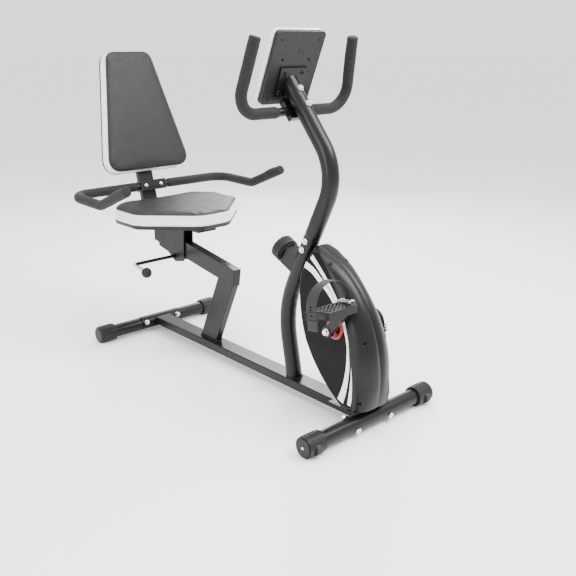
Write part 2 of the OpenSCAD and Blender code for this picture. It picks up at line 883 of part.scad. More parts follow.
module lever_ball() {
    reach = lever_arm + 11;
    color([0.05, 0.05, 0.05]) lever_frame() difference() {
        translate([reach * cos(lever_drop), -lever_reach, -reach * sin(lever_drop)])
            sphere(r = ball_r, $fn = smooth);
        bar([0, -lever_reach, 0],
            [lever_arm * cos(lever_drop), -lever_reach, -lever_arm * sin(lever_drop)], lever_r);
    }
}

// ---- Seat ----

seat_outline = [[-1032, 150], [-992, 188], [-886, 188], [-748, 40]];
seat_corner_r = 32;

module seat_cushion() {
    color([0.3, 0.3, 0.31]) translate([0, 0, seat_z - seat_t]) linear_extrude(seat_t)
        rounded_outline(concat(seat_outline, [for (q = seat_outline) [q[0], -q[1]]]),
            seat_corner_r);
}

// Frame on the backrest: X normal to its face, Z up along it
module back_frame() {
    translate([cushion_top_x, 0, cushion_top_z]) rotate([0, -back_tilt, 0]) children();
}

module back_cushion() {
    top_r = 34;
    low_r = 42;
    color([0.3, 0.3, 0.31]) back_frame() translate([-back_t, 0, 0]) rotate([90, 0, 90])
        linear_extrude(back_t) hull() for (s = [-1, 1]) {
            translate([s * (back_top_w - top_r + 2), -top_r]) circle(r = top_r, $fn = hull_fn);
            translate([s * (back_low_w - low_r - 3), low_r - back_len])
                circle(r = low_r, $fn = hull_fn);
        }
}

module back_post() {
    low = seat_z - seat_t - 36;
    face = -back_t - gap;
    color([0.22, 0.22, 0.23]) difference() {
        union() {
            back_frame() translate([face - back_post_t, -back_post_w / 2, -660])
                cube([back_post_t, back_post_w, 540]);
            back_frame() for (z = [-180, -350]) translate([face - 5, -70, z]) cube([5, 140, 30]);
        }
        back_frame() translate([face - back_post_t + 2, 2 - back_post_w / 2, -662])
            cube([back_post_t - 4, back_post_w - 4, 536]);
        translate([-1300, -60, low - 300]) cube([400, 120, 300]);
        translate([-1126, -30.5, low - 1]) cube([72, 61, 31]);
    }
}

// ---- Side handlebar ----

// Whole symmetric path from its left half
function both(half) =
    concat([for (i = [len(half) - 1 : -1 : 0]) [half[i][0], -half[i][1], half[i][2]]], half);

side_half = [[bracket_x, side_bend_y, bracket_z], [side_arm_x, side_bend_y, side_arm_z],
    [side_end_x, side_bend_y - 2, side_end_z]];
front_half = [[bar_low_x, bar_low_y, bar_low_z], [bar_top_x, bar_top_y, bar_top_z]];

module side_handlebar() {
    color("dimgray") bent_bar(both(side_half), [60, 62, 62, 60], bar_r, bar_wall);
}

// Rounded plug over the end of a grip
module end_plug(half) {
    tip = half[len(half) - 1];
    out = unit(tip - half[len(half) - 2]);
    bar(tip + 0.1 * out, tip + 3 * out, grip_r);
    bar(tip + 2.9 * out, tip + 6 * out, grip_r - 3);
}

// Foam grips from beside the bracket to the bar's ends, with their end plugs
module side_grips() {
    color([0.2, 0.2, 0.2]) mirrored() {
        bent_bar(concat([[bracket_x, 66, bracket_z]], side_half), [62, 60], grip_r, grip_wall);
        end_plug(side_half);
    }
}

// Bracket plate, cover strap and bolts that hold the bar to the back post
module bar_bracket() {
    color([0.2, 0.2, 0.21]) translate([bracket_x, 0, bracket_z]) rotate([0, -back_tilt, 0]) {
        difference() {
            translate([-22.5, -54, -18]) cube([38, 108, 36]);
            y_rod(bar_r + 0.1, -70, 70, $fn = smooth);
            for (y = [-32, 32]) translate([0, y, 0]) rotate([0, 90, 0])
                cylinder(r = 4.2, h = 60, center = true);
        }
        for (y = [-32, 32]) translate([15.5, y, 0]) rotate([0, 90, 0]) intersection() {
            cylinder(r = 7, h = 5);
            translate([0, 0, -4]) sphere(r = 9);
        }
    }
}

// ---- Front handlebar ----

module front_handlebar() {
    color("dimgray") bent_bar(both(front_half), [62, 62], bar_r, bar_wall);
}

module front_grips() {
    color([0.2, 0.2, 0.2]) mirrored() {
        bent_bar(concat([[bar_low_x, 62, bar_low_z]], front_half), [62], grip_r, grip_wall);
        end_plug(front_half);
    }
}

// Frame where the bar crosses the mast: Z along the mast, X ahead of it
module clamp_frame() {
    translate([clamp_x, 0, clamp_z]) rotate([0, -mast_lean, 0]) children();
}

module handlebar_clamp() {
    color([0.5, 0.5, 0.52]) clamp_frame() difference() {
        union() {
            translate([-post_r - 24.5, -26, -27]) cube([20, 52, 66]);
            for (z = clamp_bolts) translate([0, 0, z]) rotate([0, 90, 0]) {
                translate([0, 0, -51]) cylinder(r = 4, h = 56 + post_r);
                translate([0, 0, post_r + gap]) cylinder(r = 9.5, h = 2.2);
                translate([0, 0, post_r + 2.4]) cylinder(r = 7, h = 5, $fn = 6);
            }
        }
        translate([-bar_offset, 0, 0]) y_rod(bar_r + 0.1, -60, 60, $fn = smooth);
        translate([-post_r - 28, -22, -29]) cube([18, 44, 5]);
    }
}

// ---- Console ----

module console_block(x, t, w, low, high, r) {
    console_frame() translate([x, 0, 0]) rotate([90, 0, 90]) linear_extrude(t)
        rounded_outline([for (s = [-1, 1], z = [low + r, high - r]) [s * (w / 2 - r), z]], r);
}

module console_back() {
    color([0.15, 0.15, 0.16]) difference() {
        console_block(-14, 14, console_w, 0, console_h, 12);
        console_block(-15, 13, console_w - 5, 2.5, console_h - 2.5, 10);
        for (y = [-1, 1]) console_frame() {
            translate([-10, y * 50, 133]) rotate([0, 90, 0]) cylinder(r = 3.5, h = 20);
            translate([-10, y * 69, 190]) rotate([0, 90, 0]) cylinder(r = 2, h = 20);
            translate([-10, y * 69, 15]) rotate([0, 90, 0]) cylinder(r = 2, h = 20);
        }
    }
}

buttons = [-32, 0, 32];
button_z = 48;

module console_front() {
    color([0.78, 0.79, 0.8]) difference() {
        console_block(-console_t, console_t - 14 - gap, console_w + 8, -4, console_h, 16);
        console_block(-console_t + 3, console_t, console_w, 0, console_h - 4, 12);
        console_frame() translate([-console_t - 2, -62, 88]) cube([10, 124, 92]);
        for (y = buttons) console_frame() translate([-console_t - 5, y, button_z])
            rotate([0, 90, 0]) cylinder(r = 8.4, h = 15);
    }
}

module console_screen() {
    color([0.1, 0.13, 0.12]) console_frame()
        translate([-console_t + 0.8, -61.6, 88.4]) cube([4, 123.2, 91.2]);
}

module console_button(y) {
    color([0.25, 0.25, 0.27]) console_frame() translate([-console_t - 2.2, y, button_z])
        rotate([0, 90, 0]) {
            cylinder(r = 8, h = 6);
            translate([0, 0, 5.6]) cylinder(r = 10, h = 1.6);
        }
}

module button_mode() console_button(buttons[0]);
module button_set() console_button(buttons[1]);
module button_reset() console_button(buttons[2]);

placed() base_rail();
placed() rail_saddles();
placed() front_stabilizer();
placed() rear_stabilizer();
placed() front_caps();
placed() rear_caps();
placed() transport_wheel_left();
placed() transport_wheel_right();
placed() wheel_pins();
placed() stabilizer_bolts();
placed() front_post();
placed() mast();
placed() mast_bolts();
placed() knob_housing();
placed() tension_knob();
placed() control_cables();
placed() casing_left();
placed() casing_right();
placed() casing_screws();
placed() drive_frame();
placed() crank_bearings();
placed() crank_seals();
placed() crank_axle();
placed() crank_pulley();
placed() crank_arm_left();
placed() crank_arm_right();
placed() crank_nuts();
placed() pedal_left();
placed() pedal_right();
placed() pedal_spindles();
placed() pedal_strap_left();
placed() pedal_strap_right();
placed() drive_belt();
placed() flywheel();
placed() flywheel_axle();
placed() magnet_bracket();
placed() brake_magnets();
placed() bracket_pivot();
placed() seat_post();
placed() seat_rail();
placed() rail_plug();
placed() seat_carriage();
placed() carriage_glides();
placed() seat_lever();
placed() lever_ball();
placed() seat_cushion();
placed() back_post();
placed() back_cushion();
placed() side_handlebar();
placed() side_grips();
placed() bar_bracket();
placed() front_handlebar();
placed() front_grips();
placed() handlebar_clamp();
placed() console_back();
placed() console_front();
placed() console_screen();
placed() button_mode();
placed() button_set();
placed() button_reset();
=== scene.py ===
import json
import math
import bmesh
import bpy
import numpy as np
from mathutils import Matrix, Vector, noise

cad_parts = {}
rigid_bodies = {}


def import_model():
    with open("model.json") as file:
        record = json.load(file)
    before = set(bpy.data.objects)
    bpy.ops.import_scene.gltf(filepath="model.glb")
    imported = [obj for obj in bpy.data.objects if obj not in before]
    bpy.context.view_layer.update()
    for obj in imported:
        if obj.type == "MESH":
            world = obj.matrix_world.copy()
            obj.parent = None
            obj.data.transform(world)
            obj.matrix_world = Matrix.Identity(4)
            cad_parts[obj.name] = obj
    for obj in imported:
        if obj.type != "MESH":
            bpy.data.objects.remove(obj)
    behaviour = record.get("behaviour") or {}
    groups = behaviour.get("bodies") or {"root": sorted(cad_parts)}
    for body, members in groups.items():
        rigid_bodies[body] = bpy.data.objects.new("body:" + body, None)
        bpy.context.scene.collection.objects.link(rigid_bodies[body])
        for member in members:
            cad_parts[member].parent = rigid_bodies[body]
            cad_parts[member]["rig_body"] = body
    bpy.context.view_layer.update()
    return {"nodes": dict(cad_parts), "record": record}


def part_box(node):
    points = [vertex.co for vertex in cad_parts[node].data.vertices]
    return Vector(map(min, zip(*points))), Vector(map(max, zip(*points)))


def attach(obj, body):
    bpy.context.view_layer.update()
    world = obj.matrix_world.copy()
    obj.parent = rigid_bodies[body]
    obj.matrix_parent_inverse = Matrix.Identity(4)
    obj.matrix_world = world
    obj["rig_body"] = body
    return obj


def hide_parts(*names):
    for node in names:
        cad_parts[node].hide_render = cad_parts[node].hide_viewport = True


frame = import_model()
NODES = frame["nodes"]
SHIFT = 0.61064   # the row frame's X at the front stabiliser


def P(x, y, z):
    """A point given in millimetres from the front stabiliser's axis, as metres in the row frame."""
    return Vector((x / 1000 + SHIFT, y / 1000, z / 1000))


# ---- Camera ----

def look_camera():
    forward = Vector((-0.70350869, 0.6392598, -0.31051961)).normalized()
    up = Vector((-0.23046562, 0.20810785, 0.95056653))
    right = forward.cross(up).normalized()
    up = right.cross(forward).normalized()
    data = bpy.data.cameras.new("camera")
    data.sensor_width = 36.0
    data.lens = 47.27
    data.clip_start = 0.05
    data.clip_end = 100
    cam = bpy.data.objects.new("camera", data)
    rot = Matrix((right, up, -forward)).transposed()
    cam.matrix_world = Matrix.Translation(P(1302.8, -1501.8, 1070.0)) @ rot.to_4x4()
    bpy.context.scene.collection.objects.link(cam)
    bpy.context.scene.camera = cam


look_camera()


# ---- Materials ----

def material(name, color, rough, metal=0.0, tint=0.10, tint_scale=30.0, rough_var=0.06, bumps=(),
             coat=0.0, coat_rough=0.1, specular=0.5, sheen=0.0, scuff=0.0):
    """Principled material with colour, gloss and relief that vary over the surface.

    Each bump is (noise or cells, scale, strength, distance in metres).
    """
    m = bpy.data.materials.new(name)
    m.use_nodes = True
    nt = m.node_tree
    N, L = nt.nodes, nt.links
    bsdf = N["Principled BSDF"]
    bsdf.inputs["Metallic"].default_value = metal
    bsdf.inputs["Specular IOR Level"].default_value = specular
    bsdf.inputs["Coat Weight"].default_value = coat
    bsdf.inputs["Coat Roughness"].default_value = coat_rough
    bsdf.inputs["Sheen Weight"].default_value = sheen
    coord = N.new("ShaderNodeTexCoord")

    def noise_tex(scale, detail=4.0, rough_=0.55):
        n = N.new("ShaderNodeTexNoise")
        n.inputs["Scale"].default_value = scale
        n.inputs["Detail"].default_value = detail
        n.inputs["Roughness"].default_value = rough_
        L.new(coord.outputs["Object"], n.inputs["Vector"])
        return n.outputs["Fac"]

    def spread(src, lo, hi, a=0.3, b=0.7):
        r = N.new("ShaderNodeMapRange")
        r.inputs["From Min"].default_value = a
        r.inputs["From Max"].default_value = b
        r.inputs["To Min"].default_value = lo
        r.inputs["To Max"].default_value = hi
        L.new(src, r.inputs["Value"])
        return r.outputs["Result"]

    def mix(fac, a, b):
        x = N.new("ShaderNodeMix")
        x.data_type = "RGBA"
        L.new(fac, x.inputs["Factor"])
        for sock, v in ((x.inputs[6], a), (x.inputs[7], b)):
            if isinstance(v, (tuple, list)):
                sock.default_value = (*v, 1.0)
            else:
                L.new(v, sock)
        return x.outputs[2]

    lo = tuple(max(0.0, c * (1 - tint)) for c in color)
    hi = tuple(min(1.0, c * (1 + tint)) for c in color)
    col = mix(spread(noise_tex(tint_scale, 5.0), 0.0, 1.0), lo, hi)
    rgh = spread(noise_tex(tint_scale * 2.3, 6.0), rough - rough_var, rough + rough_var)
    if scuff:
        marks = spread(noise_tex(tint_scale * 5, 8.0, 0.75), 0.0, scuff, 0.60, 0.72)
        light = tuple(min(1.0, c * 1.8 + 0.006) for c in color)
        col = mix(marks, col, light)
    L.new(col, bsdf.inputs["Base Color"])
    L.new(rgh, bsdf.inputs["Roughness"])
    last = None
    for kind, scale, strength, distance in bumps:
        if kind == "noise":
            h = noise_tex(scale, 3.0)
        else:
            v = N.new("ShaderNodeTexVoronoi")
            v.feature = "DISTANCE_TO_EDGE"
            v.inputs["Scale"].default_value = scale
            L.new(coord.outputs["Object"], v.inputs["Vector"])
            h = spread(v.outputs["Distance"], 0.0, 1.0, 0.0, 0.35)
        b = N.new("ShaderNodeBump")
        b.inputs["Strength"].default_value = strength
        b.inputs["Distance"].default_value = distance
        L.new(h, b.inputs["Height"])
        if last is not None:
            L.new(last, b.inputs["Normal"])
        last = b.outputs["Normal"]
    if last is not None:
        L.new(last, bsdf.inputs["Normal"])
    return m


PAINT = material("satin_black_paint", (0.0055, 0.0055, 0.006), 0.30, tint=0.12, tint_scale=22, rough_var=0.03,
                 bumps=(("noise", 900, 0.04, 0.0002),), scuff=0.03, specular=0.24)
PLATE = material("pressed_plate_paint", (0.007, 0.007, 0.0075), 0.40, tint=0.12, tint_scale=25,
                 rough_var=0.05, bumps=(("noise", 800, 0.14, 0.0003),), scuff=0.04, specular=0.22)
CASING = material("casing_black", (0.0045, 0.0045, 0.005), 0.33, tint=0.10, tint_scale=18, rough_var=0.03,
                  bumps=(("noise", 1200, 0.10, 0.0002),), specular=0.24)
PANEL = material("casing_panel_black", (0.003, 0.003, 0.0033), 0.46, tint=0.10, tint_scale=18, rough_var=0.04,
                 bumps=(("noise", 1500, 0.16, 0.0002),), specular=0.09)
STRIPE = material("stripe_white", (0.86, 0.86, 0.86), 0.35, tint=0.03, tint_scale=30, rough_var=0.04)
FOAM = material("charcoal_foam", (0.011, 0.011, 0.0115), 0.78, tint=0.18, tint_scale=90, rough_var=0.08,
                bumps=(("noise", 650, 0.45, 0.0007), ("cells", 900, 0.20, 0.0004)), sheen=0.03, specular=0.25)
VINYL = material("grey_vinyl", (0.012, 0.012, 0.0125), 0.46, tint=0.08, tint_scale=20, rough_var=0.06,
                 bumps=(("cells", 520, 0.30, 0.0005), ("noise", 60, 0.10, 0.0012)), specular=0.24)
VINYL_WHITE = material("white_vinyl", (0.82, 0.82, 0.81), 0.42, tint=0.03, tint_scale=20, rough_var=0.06,
                       bumps=(("cells", 560, 0.22, 0.0004), ("noise", 70, 0.12, 0.0012)))
PIPING = material("black_piping", (0.012, 0.012, 0.013), 0.42, tint=0.12, tint_scale=60, rough_var=0.06,
                  bumps=(("noise", 700, 0.2, 0.0004),), specular=0.3)
CAP = material("cap_plastic", (0.011, 0.011, 0.012), 0.42, tint=0.12, tint_scale=40, rough_var=0.06,
               bumps=(("noise", 1100, 0.30, 0.0003),), scuff=0.04, specular=0.22)
KNOB = material("knob_plastic", (0.007, 0.007, 0.0075), 0.42, tint=0.12, tint_scale=45, rough_var=0.06,
                bumps=(("noise", 1200, 0.30, 0.0003),), specular=0.28)
PEDAL = material("pedal_plastic", (0.009, 0.009, 0.0095), 0.46, tint=0.15, tint_scale=60, rough_var=0.08,
                 bumps=(("noise", 900, 0.4, 0.0004),), scuff=0.10, specular=0.25)
STRAP = material("strap_rubber", (0.014, 0.014, 0.0145), 0.52, tint=0.14, tint_scale=70, rough_var=0.08,
                 bumps=(("noise", 900, 0.35, 0.0004),), scuff=0.08, specular=0.28)
RED = material("seal_red", (0.27, 0.006, 0.006), 0.34, tint=0.10, tint_scale=50, rough_var=0.05,
               bumps=(("noise", 900, 0.10, 0.0003),), coat=0.2)
CHROME = material("bright_steel", (0.80, 0.81, 0.83), 0.16, metal=1.0, tint=0.05, tint_scale=80,
                  rough_var=0.06, bumps=(("noise", 600, 0.05, 0.0002),))
STEEL = material("brushed_steel", (0.50, 0.50, 0.52), 0.34, metal=1.0, tint=0.10, tint_scale=60,
                 rough_var=0.10, bumps=(("noise", 500, 0.15, 0.0002),))
IRON = material("machined_iron", (0.28, 0.28, 0.29), 0.40, metal=1.0, tint=0.15, tint_scale=40,
                rough_var=0.10, bumps=(("noise", 300, 0.2, 0.0004),))
RUBBER = material("black_rubber", (0.016, 0.016, 0.016), 0.70, tint=0.15, tint_scale=80, rough_var=0.08,
                  bumps=(("noise", 800, 0.3, 0.0004),))
CONSOLE = material("console_shell_grey", (0.008, 0.008, 0.0085), 0.50, tint=0.08, tint_scale=30,
                   rough_var=0.05, bumps=(("cells", 1500, 0.25, 0.0002),), specular=0.3)
BEZEL = material("console_bezel", (0.74, 0.74, 0.75), 0.32, tint=0.04, tint_scale=30, rough_var=0.05,
                 bumps=(("noise", 1500, 0.08, 0.0002),), coat=0.2)
LCD = material("lcd_window", (0.30, 0.35, 0.30), 0.14, tint=0.05, tint_scale=12, rough_var=0.03, coat=0.6,
               coat_rough=0.05)
INK = material("lcd_ink", (0.02, 0.025, 0.02), 0.3, tint=0.1, tint_scale=60, rough_var=0.04)
GLIDE = material("white_glide", (0.75, 0.75, 0.72), 0.45, tint=0.06, tint_scale=60, rough_var=0.06,
                 bumps=(("noise", 900, 0.15, 0.0003),))
BUTTON = material("button_red", (0.45, 0.03, 0.03), 0.35, tint=0.06, tint_scale=60, rough_var=0.05, coat=0.2)
# Near-black paint for the shade inside holes, wells and recesses.
RECESS_SHADE = material("painted_recess_shade", (0.002, 0.002, 0.002), 0.8, tint=0.2, tint_scale=90, rough_var=0.05,
                specular=0.05)


# ---- Mesh helpers ----

def add_object(name, mesh, body, mats, slot, replaces=(), angle=35.0):
    """Adds a finished piece on a body; the slot argument is not used. Edges sharper than the angle stay
    sharp.
    """
    o = bpy.data.objects.new(name, mesh)
    bpy.context.scene.collection.objects.link(o)
    for m in mats:
        mesh.materials.append(m)
    mesh.polygons.foreach_set("use_smooth", [True] * len(mesh.polygons))
    mesh.set_sharp_from_angle(angle=math.radians(angle))
    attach(o, body)
    if replaces:
        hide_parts(*replaces)
    return o


def mesh_of(name, verts, faces, mat_ids=None):
    me = bpy.data.meshes.new(name)
    me.from_pydata([tuple(v) for v in verts], [], faces)
    if mat_ids is not None:
        me.polygons.foreach_set("material_index", mat_ids)
    me.update()
    return me


def bpy_object(name, me):
    o = bpy.data.objects.new(name, me)
    bpy.context.scene.collection.objects.link(o)
    return o


def take_mesh(o):
    """Removes a working object and hands back its mesh."""
    me = o.data
    bpy.data.objects.remove(o)
    return me


def outward_normals(me):
    bm = bmesh.new()
    bm.from_mesh(me)
    bmesh.ops.recalc_face_normals(bm, faces=bm.faces)
    bm.to_mesh(me)
    bm.free()


def side_word(side):
    return "left" if side > 0 else "right"


def bake(o, *steps):
    """Adds modifiers given as (type, settings), then applies them."""
    for kind, opts in steps:
        m = o.modifiers.new(kind.lower(), kind)
        for k, v in opts.items():
            setattr(m, k, v)
    dg = bpy.context.evaluated_depsgraph_get()
    me = bpy.data.meshes.new_from_object(o.evaluated_get(dg))
    o.modifiers.clear()
    old = o.data
    o.data = me
    bpy.data.meshes.remove(old)


def fillet(points, radii, step=6.0):
    """Points along a bent tube's centreline: straight lengths joined by arcs of the given radii."""
    pts = [Vector(p) for p in points]
    out = [pts[0]]
    for i in range(1, len(pts) - 1):
        a, b, c = pts[i - 1], pts[i], pts[i + 1]
        u, v = (b - a).normalized(), (c - b).normalized()
        turn = u.angle(v)
        r = radii[i - 1]
        t = r * math.tan(turn / 2)
        start = b - u * t
        side = (v - u * u.dot(v)).normalized()
        centre = start + side * r
        n = max(4, int(math.degrees(turn) / step))
        for k in range(n + 1):
            w = turn * k / n
            out.append(centre - side * r * math.cos(w) + u * r * math.sin(w))
    out.append(pts[-1])
    return out


def resample(path, gap):
    """The same path with points no further apart than about twice the gap."""
    out = [path[0]]
    for a, b in zip(path, path[1:]):
        n = max(1, int((b - a).length / gap))
        out += [a.lerp(b, (k + 1) / n) for k in range(n)]
    return out


def ring_faces(rings, sides, closed=False, capped=True):
    """Faces that join each ring of points to the next one, with a face over either end of an open run."""
    faces = []
    for i in range(rings if closed else rings - 1):
        i2 = (i + 1) % rings
        for j in range(sides):
            j2 = (j + 1) % sides
            faces.append((i * sides + j, i * sides + j2, i2 * sides + j2, i2 * sides + j))
    if capped and not closed:
        faces.append(tuple(reversed(range(sides))))
        faces.append(tuple((rings - 1) * sides + j for j in range(sides)))
    return faces


def sweep(name, path, radius, sides, dome_start=0.0, dome_end=0.0, closed=False):
    """Tube mesh along a path. radius(s, a) is its size s metres along, at angle a; a dome rounds an end."""
    pts = [Vector(p) for p in path]
    n = len(pts)
    dist = [0.0]
    for a, b in zip(pts, pts[1:]):
        dist.append(dist[-1] + (b - a).length)
    tang = []
    for i in range(n):
        before = pts[i - 1] if closed else pts[max(i - 1, 0)]
        after = pts[(i + 1) % n] if closed else pts[min(i + 1, n - 1)]
        tang.append((after - before).normalized())
    ref = Vector((0, 0, 1)) if abs(tang[0].z) < 0.9 else Vector((1, 0, 0))
    nor = ref
    rings = []
    for i in range(n):
        nor = (nor - tang[i] * nor.dot(tang[i])).normalized()
        rings.append((pts[i], tang[i], nor.copy(), dist[i], 0.0))

    def dome(ring, depth, way):
        c, t, nn, s, _ = ring
        turns = [math.pi / 2 * k / 6 for k in range(1, 6)]
        return [(c + t * way * depth * math.sin(w), t, nn, s, depth * (1 - math.cos(w))) for w in turns]

    if dome_start:
        rings = dome(rings[0], dome_start, -1)[::-1] + rings
    if dome_end:
        rings = rings + dome(rings[-1], dome_end, 1)
    verts = []
    for c, t, nn, s, cut in rings:
        bn = t.cross(nn)
        for j in range(sides):
            a = 2 * math.pi * j / sides
            verts.append(c + (nn * math.cos(a) + bn * math.sin(a)) * (radius(s, a) - cut))
    return mesh_of(name, verts, ring_faces(len(rings), sides, closed))


def chamfered(node, mats, width, detail=None):
    """A copy of a CAD node with its sharp edges broken, shown in the node's place."""
    bm = bmesh.new()
    bm.from_mesh(NODES[node].data)
    bmesh.ops.remove_doubles(bm, verts=bm.verts, dist=2e-6)
    bmesh.ops.dissolve_limit(bm, angle_limit=math.radians(0.6), use_dissolve_boundaries=False,
                             verts=bm.verts, edges=bm.edges)
    me = bpy.data.meshes.new(node + "_piece")
    bm.to_mesh(me)
    bm.free()
    o = bpy_object(me.name, me)
    bake(o, ("BEVEL", dict(width=width, segments=2, limit_method="ANGLE", angle_limit=math.radians(35),
                           use_clamp_overlap=True, miter_outer="MITER_ARC")))
    me = take_mesh(o)
    me.materials.clear()
    o = add_object(node + "_piece", me, body_of(node), mats, slot_of(node), (node,), angle=20.0)
    if detail:
        detail(o)


SUBPARTS = {s["node"]: s["material_slot"] for s in frame["record"]["subparts"]}


def second_material(test):
    """Gives a piece's second material to the faces whose centre passes the test."""
    def apply(o):
        o.data.polygons.foreach_set("material_index", [int(test(p.center)) for p in o.data.polygons])
    return apply


def slot_of(node):
    return SUBPARTS[node]


def body_of(node):
    return NODES[node]["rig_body"]


def paint_node(node, mat):
    o = NODES[node]
    o.data.materials.clear()
    o.data.materials.append(mat)
    o.data.polygons.foreach_set("material_index", [0] * len(o.data.polygons))


# ---- CAD nodes with broken edges or a better material ----

EDGED = {
    "base_rail": (PAINT, 0.0030), "rail_saddles": (PAINT, 0.0012), "front_stabilizer": (PAINT, 0.0006),
    "rear_stabilizer": (PAINT, 0.0006), "front_post": (PAINT, 0.0007), "mast": (PAINT, 0.0007),
    "knob_housing": (PAINT, 0.0025), "seat_post": (PAINT, 0.0030), "seat_rail": (PAINT, 0.0028),
    "rail_plug": (CAP, 0.0010), "seat_carriage": (PLATE, 0.0009), "back_post": (PAINT, 0.0020),
    "side_handlebar": (PAINT, 0.0005), "front_handlebar": (PAINT, 0.0005),
    "crank_arm_left": (PAINT, 0.0016), "crank_arm_right": (PAINT, 0.0016),
    "console_back": (CONSOLE, 0.0022), "stabilizer_bolts": (CHROME, 0.0007),
    "mast_bolts": (CHROME, 0.0008), "crank_nuts": (CHROME, 0.0008),
    "tension_knob": (KNOB, 0.0012), "front_caps": (CAP, 0.0018), "rear_caps": (CAP, 0.0018),
    "transport_wheel_left": (RUBBER, 0.0012), "transport_wheel_right": (RUBBER, 0.0012),
    "crank_seals": (RED, 0.0008), "button_mode": (BUTTON, 0.0007), "button_set": (BUTTON, 0.0007),
    "button_reset": (BUTTON, 0.0007), "pedal_left": (PEDAL, 0.0009), "pedal_right": (PEDAL, 0.0009),
    "drive_frame": (PAINT, 0.0006),
}
for node_name, (node_mat, node_width) in EDGED.items():
    chamfered(node_name, [node_mat], node_width)

# Bends and ends of the two posts' centrelines, in millimetres from the front stabiliser.
POST_FOOT, POST_BEND, POST_TOP = (-316.6, 0, 44), (-363, 0, 276.8), (-243, 0, 524)
MAST_BEND, MAST_TOP = (-146.6, 0, 722.5), (-352, 0, 967.3)
POST_LEAN = math.atan2(POST_TOP[0] - POST_BEND[0], POST_TOP[2] - POST_BEND[2])
MAST_LEAN = math.atan2(352 - 146.64, 967.3 - 722.5)
CLAMP_DOWN, BAR_OUT = 84, 38   # the clamp's distance below the mast's top, and the front bar's from its axis

# Metres past which a piece is bright steel instead of paint: the bolts of the bracket and the clamp, and the
# seat lever's last length before its ball.
BRACKET_FACE, CLAMP_FACE, LEVER_END = 0.0157, 0.0251, -0.186

bracket_out = Vector((math.cos(math.radians(16)), 0, math.sin(math.radians(16))))
chamfered("bar_bracket", [PAINT, CHROME], 0.0012,
          second_material(lambda c: (c - P(-1104, 0, 561)).dot(bracket_out) > BRACKET_FACE))
clamp_out = Vector((math.cos(MAST_LEAN), 0, math.sin(MAST_LEAN)))
clamp_mid = P(MAST_TOP[0] + CLAMP_DOWN * math.sin(MAST_LEAN), 0,
              MAST_TOP[2] - CLAMP_DOWN * math.cos(MAST_LEAN))
chamfered("handlebar_clamp", [PAINT, CHROME], 0.0010,
          second_material(lambda c: (c - clamp_mid).dot(clamp_out) > CLAMP_FACE))
chamfered("seat_lever", [PAINT, CHROME], 0.0006, second_material(lambda c: c.y < LEVER_END))
chamfered("console_front", [BEZEL], 0.0026)
PLAIN = {
    "wheel_pins": STEEL, "control_cables": RUBBER, "casing_screws": STEEL, "crank_bearings": STEEL,
    "crank_axle": STEEL, "crank_pulley": PEDAL, "pedal_spindles": STEEL, "drive_belt": RUBBER,
    "flywheel": IRON, "flywheel_axle": STEEL, "magnet_bracket": STEEL, "brake_magnets": CHROME,
    "bracket_pivot": STEEL, "carriage_glides": GLIDE, "lever_ball": CAP, "console_screen": LCD,
}
for node_name, node_mat in PLAIN.items():
    paint_node(node_name, node_mat)


# ---- Paint skin that carries one smooth highlight over the bends of the two posts ----

SKIN_RADIUS = 0.02512   # 0.12 mm outside the tubes' own radius
SKIN_GAP = 0.006


def post_skin(name, node, points, bend, start, end):
    """Skin over one post, from start metres after its first point to end metres before its last."""
    path = resample([P(*p) for p in fillet(points, [bend])], SKIN_GAP)
    path = path[int(start / SKIN_GAP):len(path) - int(end / SKIN_GAP)]
    me = sweep(name, path, lambda s, a: SKIN_RADIUS, 72)
    add_object(name, me, "frame", [PAINT], slot_of(node), angle=60)


post_skin("post_skin", "front_post", [POST_FOOT, POST_BEND, POST_TOP], 310, 0.030, 0.012)
post_skin("mast_skin", "mast", [POST_TOP, MAST_BEND, MAST_TOP], 146, 0.012, 0.075)


# ---- Casing ----

KNOB_LEAN = math.radians(25.8)
CASE_LOW, CASE_TOP = 70.0, 508.0
CROWN_START = 448       # height at which the crown starts to round over
CROWN_PULL = 0.36       # share of its length by which the crown's front is drawn back at the very top
PANEL_SINK = 1.7        # the flat side panel lies this far inside the casing's full width
PANEL_STEP = 2.2        # and starts this far behind the edge of the rounded front


def seam_x(z):
    """The front seam's place at a height. All of the casing's outline is in millimetres."""
    return -317 + math.sqrt(360 ** 2 - (z - 167) ** 2)


def edge_x(z):
    """Where the rounded front ends and the side begins."""
    return min(-505 + math.sqrt(499 ** 2 - (z - 122) ** 2), seam_x(z) - 6)


def rear_x(z):
    """The rear edge: the further forward of a curve and a line beside the front post, blended."""
    curve = 165 - math.sqrt(414 ** 2 - (z - 419) ** 2)
    beside_post = POST_TOP[0] - (POST_TOP[2] - z) * math.tan(POST_LEAN) + 40.6 / math.cos(POST_LEAN)
    return (curve + beside_post + math.hypot(curve - beside_post, 9)) / 2


def shoulder(z):
    """How far the crown has rounded over at a height, from 0 below it to 1 at the very top."""
    t = max(0.0, (z - CROWN_START) / (CASE_TOP + 0.6 - CROWN_START))
    return 1 - math.sqrt(1 - t * t)


def half_width(z):
    return (67.0 if z < 230 else 67.0 - (z - 230) * 25 / 273) - 20 * shoulder(z)


